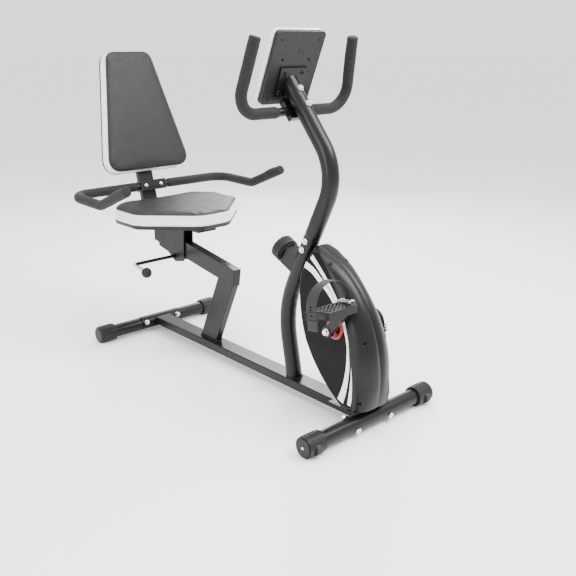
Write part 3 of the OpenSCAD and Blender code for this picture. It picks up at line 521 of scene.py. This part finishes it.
def case_section(z):
    """(x, |y|) points round one half of the casing at a height, from the front seam to the rear one."""
    low = max(0.0, 1 - (z - CASE_LOW) / 5.0)
    inset = 5.0 * (1 - math.sqrt(max(0.0, 1 - low * low)))
    w = half_width(z) - inset
    rear = rear_x(z) + inset
    edge = edge_x(z) - (edge_x(z) - rear) * CROWN_PULL * shoulder(z)
    front = seam_x(z) - inset - (seam_x(z) - rear) * CROWN_PULL * shoulder(z)
    square = 2.15 + 1.3 * max(0.0, min(1.0, (150 - z) / 80.0)) - 0.35 * max(0.0, min(1.0, (z - 300) / 100.0))
    turn = min(7.0, (edge - PANEL_STEP - rear) * 0.4)
    deep = 4.2 * max(0.0, min(1.0, (z - 95) / 120.0))
    pts = []
    for k in range(25):
        a = math.pi / 2 * k / 24
        y = w * math.sin(a) ** (2 / square)
        x = edge + (front - edge) * math.cos(a) ** (2 / square)
        x -= deep * math.exp(-(y / 9.0) ** 2)
        pts.append((x, max(y, 0.25)))
    pts[0] = (pts[0][0] - 1.2, 0.25)
    pts.append((edge - 0.9, w))
    panel = w - PANEL_SINK
    pts.append((edge - PANEL_STEP, panel))
    for k in range(1, 17):
        pts.append((edge - PANEL_STEP + (rear + turn - edge + PANEL_STEP) * k / 16, panel))
    for k in range(1, 6):
        a = math.pi / 2 * k / 5
        pts.append((rear + turn - turn * math.sin(a), panel - turn * (1 - math.cos(a))))
    pts.append((rear, w * 0.45))
    pts.append((rear, 0.25))
    return pts


def cylinder_between(a, b, r, sides=64):
    return bpy_object("cutter", sweep("cutter", [a, b], lambda s, t: r, sides))


def cut(o, *tools):
    bake(o, *[("BOOLEAN", dict(operation="DIFFERENCE", solver="EXACT", object=t)) for t in tools])
    for t in tools:
        bpy.data.objects.remove(t)


def casing_half(side):
    rows = [CASE_LOW + d for d in (0, 0.5, 1.2, 2.2, 3.4, 5)]
    rows += [75 + (CASE_TOP - 75) * k / 120 for k in range(1, 121)]
    sections = [case_section(z) for z in rows]
    m = len(sections[0])
    verts = [P(x, side * y, z) for z, sec in zip(rows, sections) for x, y in sec]
    faces = []
    for i in range(len(rows) - 1):
        for j in range(m - 1):
            f = (i * m + j, i * m + j + 1, (i + 1) * m + j + 1, (i + 1) * m + j)
            faces.append(f if side > 0 else f[::-1])
    bottom, top = tuple(range(m)), tuple(range((len(rows) - 1) * m, len(rows) * m))
    faces.append(bottom[::-1] if side > 0 else bottom)
    faces.append(top if side > 0 else top[::-1])
    o = bpy_object("casing_wall", mesh_of("casing_wall", verts, faces))
    bake(o, ("SOLIDIFY", dict(thickness=0.0026, offset=-1.0, use_even_offset=False)))
    along = Vector((math.cos(KNOB_LEAN), 0, -math.sin(KNOB_LEAN)))
    knob = P(-365.7, 0, 464.5)
    cut(o, cylinder_between(knob + along * 0.04, knob + along * 0.17, 0.004, 24),
        cylinder_between(P(-312, 0, 374), P(-100, 0, 302.7), 0.014, 40),
        cylinder_between(P(-83, side * 40, 297), P(-83, side * 90, 297), 0.0302))
    me = take_mesh(o)
    ids = []
    for p in me.polygons:
        x, z = (p.center.x - SHIFT) * 1000, p.center.z * 1000
        flat = abs(p.normal.y) > 0.9 and x < edge_x(max(70, min(512, z))) - 1.8
        ids.append(1 if flat else 0)
    word = side_word(side)
    me.materials.clear()
    o = add_object("casing_shell_" + word, me, "frame", [CASING, PANEL], "casing_plastic",
                   ("casing_" + word,), angle=28)
    o.data.polygons.foreach_set("material_index", ids)


def smooth_line(points, n=10):
    """Catmull-Rom curve through a few control rows of numbers."""
    rows = [points[0]] + list(points) + [points[-1]]
    out = []
    for i in range(1, len(rows) - 2):
        for k in range(n):
            t = k / n
            out.append([0.5 * (2 * b + (c - a) * t + (2 * a - 5 * b + 4 * c - d) * t * t
                               + (3 * b - a - 3 * c + d) * t ** 3)
                        for a, b, c, d in zip(rows[i - 1], rows[i], rows[i + 1], rows[i + 2])])
    out.append(list(rows[-2]))
    return out


def casing_stripes(side):
    """Painted bands on the side panel, each given as x, z and width along its middle."""
    bands = [
        [(-226, 453, 19), (-192, 441, 18), (-157, 417, 16), (-126, 396, 13), (-97, 368, 11), (-68, 333, 10),
         (-48, 300, 8), (-36, 268, 7), (-30, 240, 8), (-28, 205, 12), (-32, 165, 15), (-41, 122, 19),
         (-54, 84, 24)],
        [(-206, 480, 13), (-171, 456, 12), (-135, 424, 11), (-104, 393, 9), (-76, 358, 8), (-52, 318, 6),
         (-36, 282, 3), (-25, 252, 2), (-15, 220, 6), (-10, 178, 11), (-13, 128, 13), (-20, 82, 12)],
    ]
    verts, faces = [], []
    for band in bands:
        line = smooth_line(band)
        start = len(verts)
        for i, (x, z, w) in enumerate(line):
            a, b = line[max(i - 1, 0)], line[min(i + 1, len(line) - 1)]
            d = Vector((b[0] - a[0], 0, b[1] - a[1])).normalized()
            out = Vector((-d.z, 0, d.x))
            for s in (-0.5, -0.17, 0.17, 0.5):
                px, pz = x + out.x * w * s, z + out.z * w * s
                px = min(px, edge_x(pz) - 3.5)
                verts.append(P(px, side * (half_width(pz) - PANEL_SINK + 0.16), pz))
        for i in range(len(line) - 1):
            for j in range(3):
                f = (start + i * 4 + j, start + i * 4 + j + 1, start + i * 4 + j + 5, start + i * 4 + j + 4)
                faces.append(f if side < 0 else f[::-1])
    name = "casing_stripes_" + side_word(side)
    o = bpy_object(name, mesh_of(name, verts, faces))
    bake(o, ("SOLIDIFY", dict(thickness=0.00025, offset=-1.0)))
    add_object(name, take_mesh(o), "frame", [STRIPE], "casing_plastic")


def shell_point(z, y):
    """The x of the casing's front shoulder at a height and a distance from the middle."""
    sec = case_section(z)
    for a, b in zip(sec, sec[1:]):
        if a[1] <= y <= b[1]:
            t = (y - a[1]) / max(1e-6, b[1] - a[1])
            return a[0] + (b[0] - a[0]) * t
    return sec[0][0]


def casing_screw_heads():
    """Sunk screws on the casing's shoulder: a rim, and a well with the head in it, the well and the head
    painted near-black as shade.
    """
    prof = [(6.0, -1.2), (5.7, 0.20), (5.0, 0.35), (4.6, 0.0), (4.4, -0.3), (3.4, -0.28), (3.0, 0.05),
            (1.2, 0.15), (0.9, -0.25), (0.01, -0.25)]
    grow, sides, rim = 1.4, 28, 3
    faces = ring_faces(len(prof), sides, capped=False)
    # Rings after the rim take the recess shade, which paints the well and the head dark as shade.
    ids = [0 if i < rim else 1 for i in range(len(prof) - 1) for _ in range(sides)]
    for side in (-1, 1):
        for n, (z, y) in enumerate(((470, 33), (276, 43), (101, 63))):
            x = shell_point(z, y)
            here = P(x, side * y, z)
            du = P(shell_point(z, y + 1), side * (y + 1), z) - P(shell_point(z, y - 1), side * (y - 1), z)
            dv = P(shell_point(z + 2, y), side * y, z + 2) - P(shell_point(z - 2, y), side * y, z - 2)
            nrm = du.cross(dv).normalized()
            if nrm.x < 0:
                nrm = -nrm
            verts = []
            u = nrm.orthogonal().normalized()
            v = nrm.cross(u)
            for r, h in prof:
                for k in range(sides):
                    a = 2 * math.pi * k / sides
                    verts.append(here + (u * math.cos(a) + v * math.sin(a)) * r * grow / 1000
                                 + nrm * h / 1000)
            me = mesh_of("sunk_screw", verts, faces, ids)
            add_object(f"sunk_screw_{side_word(side)}_{n}", me, "frame", [CASING, RECESS_SHADE], "bare_steel")


for half in (-1, 1):
    casing_half(half)
    casing_stripes(half)
casing_screw_heads()


# ---- Cushions ----

def rounded_outline(centres, r, arc=10):
    """Outline of the hull of equal circles at the corners of a convex polygon listed anticlockwise."""
    out = []
    n = len(centres)
    for i in range(n):
        a, b, c = Vector(centres[i - 1]), Vector(centres[i]), Vector(centres[(i + 1) % n])
        rr = r[i] if isinstance(r, (list, tuple)) else r
        d1, d2 = (b - a).normalized(), (c - b).normalized()
        a1 = math.atan2(-d1.x, d1.y)
        a2 = math.atan2(-d2.x, d2.y)
        while a2 < a1:
            a2 += 2 * math.pi
        k = max(2, int(arc * (a2 - a1) / (math.pi / 2)) + 1)
        for j in range(k + 1):
            w = a1 + (a2 - a1) * j / k
            out.append((b.x + rr * math.cos(w), b.y + rr * math.sin(w)))
    return out


def prism(name, outline, z0, z1):
    n = len(outline)
    verts = [(x, y, z0) for x, y in outline] + [(x, y, z1) for x, y in outline]
    faces = [tuple(range(n))[::-1], tuple(range(n, 2 * n))]
    faces += [(i, (i + 1) % n, n + (i + 1) % n, n + i) for i in range(n)]
    return bpy_object(name, mesh_of(name, verts, faces))


PAD_VOXEL, PAD_PRESSURE, PAD_FRAMES = 0.005, 4.0, 20


def inflate(o, keep_below, cap):
    """Swells a closed pad with a cloth simulation, its underside held, and limits how far a point moves."""
    bake(o, ("REMESH", dict(mode="VOXEL", voxel_size=PAD_VOXEL)))
    me = o.data
    n = len(me.vertices)
    rest = np.zeros(n * 3)
    me.vertices.foreach_get("co", rest)
    rest = rest.reshape(-1, 3)
    group = o.vertex_groups.new(name="held")
    held = [i for i in range(n) if rest[i][2] < keep_below]
    group.add(held, 1.0, "REPLACE")
    c = o.modifiers.new("cloth", "CLOTH")
    c.settings.quality = 5
    c.settings.mass = 0.3
    c.settings.tension_stiffness = 25
    c.settings.compression_stiffness = 25
    c.settings.shear_stiffness = 12
    c.settings.bending_stiffness = 6
    c.settings.use_pressure = True
    c.settings.uniform_pressure_force = PAD_PRESSURE
    c.settings.vertex_group_mass = "held"
    c.settings.effector_weights.gravity = 0
    c.collision_settings.use_collision = False
    scene = bpy.context.scene
    for f in range(1, PAD_FRAMES + 1):
        scene.frame_set(f)
    dg = bpy.context.evaluated_depsgraph_get()
    ev = bpy.data.meshes.new_from_object(o.evaluated_get(dg))
    o.modifiers.clear()
    now = np.zeros(n * 3)
    ev.vertices.foreach_get("co", now)
    now = now.reshape(-1, 3)
    bpy.data.meshes.remove(ev)
    move = now - rest
    size = np.linalg.norm(move, axis=1, keepdims=True)
    move *= np.minimum(1.0, cap / np.maximum(size, 1e-9))
    rest = rest + move
    me.vertices.foreach_set("co", rest.ravel())
    me.update()
    scene.frame_set(1)
    o.vertex_groups.clear()
    bake(o, ("SMOOTH", dict(factor=0.5, iterations=4)), ("SUBSURF", dict(levels=1, render_levels=1)))


def ordered_loop(edges):
    """Points of one closed ring of edges, in order round it."""
    links = {}
    for e in edges:
        a, b = e.verts
        links.setdefault(a, []).append(b)
        links.setdefault(b, []).append(a)
    start = next(iter(links))
    loop, prev, here = [start], None, start
    while True:
        nxt = [v for v in links[here] if v is not prev]
        if not nxt or nxt[0] is start:
            break
        prev, here = here, nxt[0]
        loop.append(here)
        if len(loop) > len(links):
            break
    return [v.co.copy() for v in loop]


def even_loop(loop, count):
    """The ring as evenly spaced points, smoothed a little."""
    n = len(loop)
    dist = [0.0]
    for i in range(n):
        dist.append(dist[-1] + (loop[(i + 1) % n] - loop[i]).length)
    out, j = [], 0
    for k in range(count):
        s = dist[-1] * k / count
        while dist[j + 1] < s:
            j += 1
        t = (s - dist[j]) / max(1e-9, dist[j + 1] - dist[j])
        out.append(loop[j].lerp(loop[(j + 1) % n], t))
    for _ in range(4):
        out = [(out[i - 1] + out[i] * 2 + out[(i + 1) % count]) / 4 for i in range(count)]
    return out


def cushion(name, node, body, outline, depth, seams, swell, held, place, crown):
    """Upholstered pad in its own frame (face up along Z), with piped seams at the given heights."""
    o = prism(name, outline, 0.0, depth)
    inflate(o, held, swell)
    me = o.data
    co = np.zeros(len(me.vertices) * 3)
    me.vertices.foreach_get("co", co)
    co = co.reshape(-1, 3)
    mid = co[:, :2].mean(axis=0)
    reach = np.abs(co[:, :2] - mid).max(axis=0)
    rel = (co[:, :2] - mid) / reach
    dome = np.clip(1 - rel[:, 0] ** 2, 0, 1) * np.clip(1 - rel[:, 1] ** 2, 0, 1)
    upper = np.clip((co[:, 2] - seams[-1]) / (depth - seams[-1]), 0, 1)
    co[:, 2] += crown * dome * upper
    for h in seams:
        pull = np.exp(-((co[:, 2] - h) / 0.0035) ** 2) * 0.0016
        side = np.linalg.norm(rel, axis=1) > 0.55
        out = rel / np.maximum(np.linalg.norm(rel, axis=1, keepdims=True), 1e-6)
        co[:, 0] -= out[:, 0] * pull * side
        co[:, 1] -= out[:, 1] * pull * side
    me.vertices.foreach_set("co", co.ravel())
    me.update()
    bm = bmesh.new()
    bm.from_mesh(me)
    loops = []
    for h in seams:
        r = bmesh.ops.bisect_plane(bm, geom=bm.verts[:] + bm.edges[:] + bm.faces[:], dist=1e-6,
                                   plane_co=(0, 0, h), plane_no=(0, 0, 1))
        edges = [g for g in r["geom_cut"] if isinstance(g, bmesh.types.BMEdge)]
        loops.append(ordered_loop(edges))
    for f in bm.faces:
        z = f.calc_center_median().z
        f.material_index = 1 if seams[0] < z < seams[-1] else 0
        f.smooth = True
    bm.transform(place)
    bm.to_mesh(me)
    bm.free()
    take_mesh(o)
    ids = [p.material_index for p in me.polygons]
    me.materials.clear()
    pad = add_object(name, me, body, [VINYL, VINYL_WHITE, PIPING], "seat_vinyl", (node,), angle=60)
    pad.data.polygons.foreach_set("material_index", ids)
    for n, loop in enumerate(loops):
        path = [place @ p for p in even_loop(loop, 220)]
        rope = sweep(f"{name}_piping_{n}", path, lambda s, a: (0.0038, 0.0027)[n], 12, closed=True)
        add_object(f"{name}_piping_{n}", rope, body, [PIPING], "seat_vinyl", angle=60)


def shrink(points, by):
    """Outline moved inwards, for the pad before it swells."""
    n = len(points)
    out = []
    for i in range(n):
        a, b = Vector(points[i - 1]), Vector(points[(i + 1) % n])
        d = (b - a).normalized()
        out.append((points[i][0] - d.y * by, points[i][1] + d.x * by))
    return out


def seat_pad():
    centres = [(-762, 37.6), (-891.6, 170), (-984.8, 170), (-1014, 142.3)]
    centres += [(x, -y) for x, y in centres[::-1]]
    line = rounded_outline([(x / 1000 + SHIFT, y / 1000) for x, y in centres], 0.050)
    cushion("seat_pad", "seat_cushion", "seat", shrink(line, 0.0005), 0.0572, (0.0115, 0.0525), 0.0032, 0.010,
            Matrix.Translation((0, 0, 0.4655)), 0.004)


def back_pad():
    tilt = math.radians(16)
    normal = Vector((math.cos(tilt), 0, math.sin(tilt)))
    length = Vector((-math.sin(tilt), 0, math.cos(tilt)))
    corner = P(-1222, 0, 1036) - normal * 0.044
    place = Matrix.Translation(corner) @ Matrix((Vector((0, 1, 0)), length, normal)).transposed().to_4x4()
    centres = [(0.128, -0.391), (0.065, -0.034), (-0.065, -0.034), (-0.128, -0.391)]
    line = rounded_outline(centres, [0.042, 0.034, 0.034, 0.042])
    cushion("back_pad", "back_cushion", "seat", shrink(line, 0.0015), 0.0515, (0.0060, 0.0468), 0.0026, 0.005,
            place, 0.004)


seat_pad()
back_pad()


# ---- Foam grips ----

GRIP = 0.0165


def grip(name, node, points, bends, sign, hump):
    """Foam along a bent bar. hump is its swelling: distance from the outer end, half length, height."""
    pts = [P(x, sign * y, z) for x, y, z in points]
    path = resample(fillet(pts, [b / 1000 for b in bends], 5.0), 0.008)
    total = sum((b - a).length for a, b in zip(path, path[1:]))
    at, wide, high = hump

    def radius(s, a):
        r = GRIP
        r -= 0.0022 * math.exp(-(s / 0.0022) ** 2)
        r += 0.0005 * noise.noise(Vector((s * 30, math.cos(a) * 1.5, math.sin(a) * 1.5 + sign)))
        r += high * math.exp(-((total - at - s) / wide) ** 4) * max(0.0, math.cos(a)) ** 2
        r -= 0.0006 * math.exp(-((total - 0.008 - s) / 0.0012) ** 2)
        return r

    me = sweep(name, path, radius, 40, dome_end=0.0055)
    add_object(name, me, body_of(node), [FOAM], "grip_foam", (node,), angle=50)


BAR = (MAST_TOP[0] + CLAMP_DOWN * math.sin(MAST_LEAN) - BAR_OUT * math.cos(MAST_LEAN),
       MAST_TOP[2] - CLAMP_DOWN * math.cos(MAST_LEAN) - BAR_OUT * math.sin(MAST_LEAN))
for word, sign in (("left", 1), ("right", -1)):
    grip("side_grip_" + word, "side_grips",
         [(-1104, 66, 561), (-1104, 320, 561), (-907, 320, 558), (-742, 318, 626)], [62, 60], sign,
         (0.052, 0.030, 0.0030))
    grip("front_grip_" + word, "front_grips",
         [(BAR[0], 62, BAR[1]), (BAR[0], 212, BAR[1]), (-276, 184, 1077)], [62], sign,
         (0.075, 0.040, 0.0010))


# ---- Pedal straps ----

def band(name, line, width, thick, mats, body, slot, replaces, ribs, teeth, to_world):
    """Strap along (y, z) points: width(u) across X, ridges along it, and teeth over a stretch of it."""
    pts = [Vector((0, y, z)) for y, z in line]
    dist = [0.0]
    for a, b in zip(pts, pts[1:]):
        dist.append(dist[-1] + (b - a).length)
    total = dist[-1]
    half = [0.04, 0.10, 0.16, 0.22, 0.30, 0.40, 0.47, 0.5]
    cross = [-c for c in half[::-1]] + half
    h = thick / 2
    verts = []
    for i, p in enumerate(pts):
        t = (pts[min(i + 1, len(pts) - 1)] - pts[max(i - 1, 0)]).normalized()
        n = Vector((0, t.z, -t.y))
        u = dist[i] / total
        w = width(u)
        tooth = 0.0
        if teeth[0] < u < teeth[1]:
            tooth = 0.0009 * (1 if math.sin(dist[i] * teeth[2]) > 0 else 0)
        outer, inner = [], []
        for c in cross:
            edge = 1.0 if abs(c) < 0.46 else (0.75 if abs(c) < 0.49 else 0.25)
            rib = sum(0.0012 * math.exp(-((c - r) / 0.055) ** 2) for r in ribs)
            top = h * edge + (rib + tooth) * (1.0 if abs(c) < 0.46 else 0.0)
            outer.append(p + Vector((c * w, 0, 0)) + n * top)
            inner.append(p + Vector((c * w, 0, 0)) - n * h * edge)
        verts += outer + inner[::-1]
    me = mesh_of(name, [to_world(v) for v in verts], ring_faces(len(pts), len(cross) * 2))
    outward_normals(me)
    add_object(name, me, body, mats, slot, replaces, angle=40)


def pedal_strap(side):
    word = side_word(side)
    dx, dz = 135 * math.cos(math.radians(48.5)), 135 * math.sin(math.radians(48.5))
    centre = P(-83 - side * dx, 0, 297 - side * dz)
    pitch = math.radians(9)

    def world(v):
        x = v.x * math.cos(pitch) - v.z * math.sin(pitch)
        z = v.x * math.sin(pitch) + v.z * math.cos(pitch)
        return centre + Vector((x, side * v.y, z))

    line = [(0.1210, 0.0160), (0.1140, 0.0160), (0.1085, 0.0163)]
    for k in range(49):
        a = math.pi - math.pi * k / 48
        line.append((0.1733 + 0.0675 * math.cos(a), 0.0175 + 0.0665 * math.sin(a)))
    line += [(0.2408 + 0.00004 * k, 0.0160 - 0.0014 * k) for k in range(37)]

    def width(u):
        return 0.023 + 0.013 * min(1.0, max(0.0, (u - 0.10) / 0.50))

    band("strap_" + word, line, width, 0.0030, [STRAP], "pedal_" + word, "strap_rubber",
         ("pedal_strap_" + word,), (-0.24, 0.0, 0.24), (0.80, 0.985, 1300), world)
    buckle("outer_" + word, word, world, 0.2424, 0.004)
    buckle("inner_" + word, word, world, 0.1155, 0.0186, flat=True)
    # The strap's holes are dark discs that paint the shade seen through them.
    for k in range(4):
        mid = Vector((0, 0.2425, 0.0300 - 0.0075 * k - 0.001))
        me = sweep("strap_hole", [world(mid), world(mid + Vector((0, 0.0012, 0)))], lambda s, t: 0.0021, 16)
        add_object(f"strap_hole_{word}_{k}", me, "pedal_" + word, [RECESS_SHADE], "strap_rubber", angle=60)


def buckle(name, word, world, y, z, flat=False):
    """A wire-like loop with two cross bars round the strap: plastic, or steel where it lies flat."""
    tall = 0.008
    mats = [STEEL if flat else PEDAL]

    def at(x, d):
        return world(Vector((x, y + d, z) if flat else (x, y, z + d)))

    loop = []
    for cx, c, a0 in ((0.019, tall, 0), (-0.019, tall, 90), (-0.019, -tall, 180), (0.019, -tall, 270)):
        for k in range(6):
            a = math.radians(a0 + 18 * k)
            loop.append(at(cx + 0.003 * math.cos(a), c + 0.003 * math.sin(a)))
    me = sweep("strap_buckle_" + name, loop, lambda s, a: 0.0018, 12, closed=True)
    add_object("strap_buckle_" + name, me, "pedal_" + word, mats, "pedal_plastic", angle=60)
    for n, d in enumerate((0.0, -tall)):
        bar = f"buckle_bar_{name}_{n}"
        me = sweep(bar, [at(x, d) for x in (-0.020, 0, 0.020)], lambda s, t: 0.0015, 10)
        add_object(bar, me, "pedal_" + word, mats, "pedal_plastic", angle=60)


for s in (-1, 1):
    pedal_strap(s)


# ---- Small fittings ----

def lathe(name, profile, ids, centre, axis, mats, slot, sides):
    """Turned piece on the frame. Profile rows are (radius, distance along the axis) in millimetres, and ids
    gives the material of the ring after each row but the last."""
    u = axis.orthogonal().normalized()
    v = axis.cross(u)
    verts = []
    for r, h in profile:
        for k in range(sides):
            a = 2 * math.pi * k / sides
            verts.append(centre + (u * math.cos(a) + v * math.sin(a)) * r / 1000 + axis * h / 1000)
    mat_ids = [i for i in ids for _ in range(sides)] + [ids[0], ids[-1]]
    me = mesh_of(name, verts, ring_faces(len(profile), sides), mat_ids)
    add_object(name, me, "frame", mats, slot, angle=32)


# In these ids a 1 gives the recess shade: the socket's hollow, the cap screw's centre pit and the well's wall
# and floor are painted dark as shade.
SOCKET = [(6.5, -0.3), (6.5, 0.6), (6.1, 1.6), (5.2, 2.5), (4.0, 3.0), (3.1, 3.1), (2.9, 2.7), (2.8, 0.8),
          (0.05, 0.7)]
SOCKET_IDS = [0, 0, 0, 0, 0, 0, 1, 1]
BASIN = [(4.4, -0.2), (4.4, 0.6), (3.9, 1.3), (2.4, 1.6), (1.2, 1.6), (1.1, 1.1), (0.05, 1.0)]
BASIN_IDS = [0, 0, 0, 0, 1, 1]
WELL = [(4.6, -0.2), (4.6, 0.25), (4.1, 0.45), (3.6, 0.2), (3.5, -0.1), (0.05, -0.1)]
WELL_IDS = [0, 0, 0, 1, 1]
CAP_RIB_RADIUS = 31.0


def cap_trim():
    lo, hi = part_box("front_caps")
    for word, sign, y in (("left", 1, hi.y), ("right", -1, lo.y)):
        lathe("cap_screw_" + word, BASIN, BASIN_IDS, Vector((SHIFT, y, 0.030)), Vector((0, sign, 0)),
              [CHROME, RECESS_SHADE], "bright_steel", 36)
    for end, x in (("front", 0.0), ("rear", -1106.0)):
        for word, sign in (("left", 1), ("right", -1)):
            for k, deg in enumerate(range(10, 171, 20)):
                a = math.radians(deg)
                c = [P(x + CAP_RIB_RADIUS * math.cos(a), sign * y, 30 + CAP_RIB_RADIUS * math.sin(a))
                     for y in (206, 222, 240, 256)]
                rib = f"cap_rib_{end}_{word}_{k}"
                me = sweep(rib, c, lambda s, t: 0.0011, 8, dome_start=0.0008, dome_end=0.0008)
                add_object(rib, me, "frame", [CAP], "end_cap_plastic", angle=60)


WELD_RADIUS = 0.0020


def weld(name, points):
    """Closed weld bead with a ripple along it."""
    pts = [P(*q) for q in points]
    path = resample(pts + [pts[0]], 0.0022)[:-1]

    def bead(s, a):
        return WELD_RADIUS * (1 + 0.22 * math.sin(s * 1500) + 0.25 * noise.noise(Vector((s * 220, a, 0))))

    add_object(name, sweep(name, path, bead, 10, closed=True), "frame", [PAINT], "frame_paint", angle=70)


def welds():
    long_radius = 25.6 / math.cos(math.radians(-11.3))   # the post's foot leans, so the ring is an ellipse
    ring = []
    for k in range(60):
        a = 2 * math.pi * k / 60
        ring.append((-318.6 + long_radius * math.cos(a), 25.3 * math.sin(a), 54.6))
    weld("post_weld", ring)
    weld("seat_post_weld", [(-806, -13.4, 54.6), (-718, -13.4, 54.6), (-718, 13.4, 54.6), (-806, 13.4, 54.6)])


def console_trim():
    """Screws on the console's back, and the display's figures and frame on its face."""
    tilt = math.radians(23)
    out = Vector((math.cos(tilt), 0, -math.sin(tilt)))
    up = Vector((math.sin(tilt), 0, math.cos(tilt)))
    base = P(-369.8, 0, 897.6)
    face = -screen_depth(base, out) - 0.05

    def at(x, y, z):
        return base + out * x / 1000 + Vector((0, y / 1000, 0)) + up * z / 1000

    for n, (y, z) in enumerate(((-33, 97), (33, 97), (-39, 38), (39, 38))):
        lathe(f"plate_screw_{n}", SOCKET, SOCKET_IDS, at(6.4, y, z), out, [PAINT, RECESS_SHADE], "frame_paint", 28)
    for n, (y, z) in enumerate(((-69, 190), (69, 190), (-69, 15), (69, 15), (-50, 133), (50, 133),
                                 (-62, 99), (62, 99))):
        lathe(f"shell_well_{n}", WELL, WELL_IDS, at(0.0, y, z), out, [CONSOLE, RECESS_SHADE], "console_grey", 24)
    c = [at(0.2, y, z) for y, z in ((4, 151), (20, 151), (20, 165), (4, 165))]
    path = resample(c + [c[0]], 0.003)[:-1]
    me = sweep("label_frame", path, lambda s, a: 0.0007, 8, closed=True)
    add_object("label_frame", me, "frame", [CONSOLE], "console_grey", angle=60)
    verts, faces = [], []

    def quad(y0, y1, z0, z1):
        k = len(verts)
        for d in (0.0, 0.35):
            for y, z in ((y0, z0), (y1, z0), (y1, z1), (y0, z1)):
                verts.append(at(face - d, y, z))
        faces.extend([(k + 4, k + 5, k + 6, k + 7), (k, k + 3, k + 2, k + 1)])
        for i in range(4):
            j = (i + 1) % 4
            faces.append((k + i, k + j, k + 4 + j, k + 4 + i))

    def digit(y, z, w, h):
        t = w * 0.18
        quad(y, y + w, z, z + t)
        quad(y, y + w, z + h - t, z + h)
        for yy in (y, y + w - t):
            quad(yy, yy + t, z + t * 1.4, z + h / 2 - t * 0.3)
            quad(yy, yy + t, z + h / 2 + t * 0.3, z + h - t * 1.4)

    for z, h, count in ((146, 22, 4), (119, 16, 4), (96, 14, 5)):
        w = h * 0.5
        start = -(count * (w + h * 0.22)) / 2
        for k in range(count):
            digit(start + k * (w + h * 0.22), z, w, h)
    for k in range(5):
        quad(-52 + k * 22, -36 + k * 22, 172, 174.5)
    me = mesh_of("lcd_figures", verts, faces)
    outward_normals(me)
    add_object("lcd_figures", me, "frame", [INK], "screen_glass", angle=30)


def screen_depth(base, out):
    """How far the display window's face lies behind the console's back plane, in millimetres."""
    return -min((v.co - base).dot(out) for v in NODES["console_screen"].data.vertices) * 1000


cap_trim()
welds()
console_trim()


# ---- Floor, light and backdrop ----

def studio():
    me = mesh_of("floor", [(-40, -40, 0), (40, -40, 0), (40, 40, 0), (-40, 40, 0)], [(0, 1, 2, 3)])
    floor = bpy_object("studio_floor", me)
    me.materials.append(material("pale_floor", (0.955, 0.955, 0.955), 0.60, tint=0.01, tint_scale=2,
                                 rough_var=0.04, specular=0.2))
    world = bpy.data.worlds.new("studio")
    bpy.context.scene.world = world
    world.use_nodes = True
    bg = world.node_tree.nodes["Background"]
    bg.inputs["Color"].default_value = (1.0, 1.0, 1.0, 1)
    bg.inputs["Strength"].default_value = 1.75

    def area(name, at, aim, size, power, tall=None):
        light = bpy.data.lights.new(name, "AREA")
        light.energy = power
        light.shape = "RECTANGLE"
        light.size = size
        light.size_y = tall or size
        o = bpy.data.objects.new(name, light)
        o.location = at
        o.rotation_euler = (Vector(aim) - Vector(at)).to_track_quat("-Z", "Y").to_euler()
        bpy.context.scene.collection.objects.link(o)

    area("key", (1.6, 0.9, 2.6), (0.0, 0.0, 0.5), 1.6, 130)
    area("fill", (0.3, -2.8, 1.5), (0.0, 0.0, 0.5), 1.4, 60, 2.2)
    area("top", (-0.3, 0.0, 3.2), (0.0, 0.0, 0.0), 2.6, 90)
    area("edge", (-1.8, 2.0, 1.8), (0.1, 0.0, 0.6), 1.2, 60)


studio()
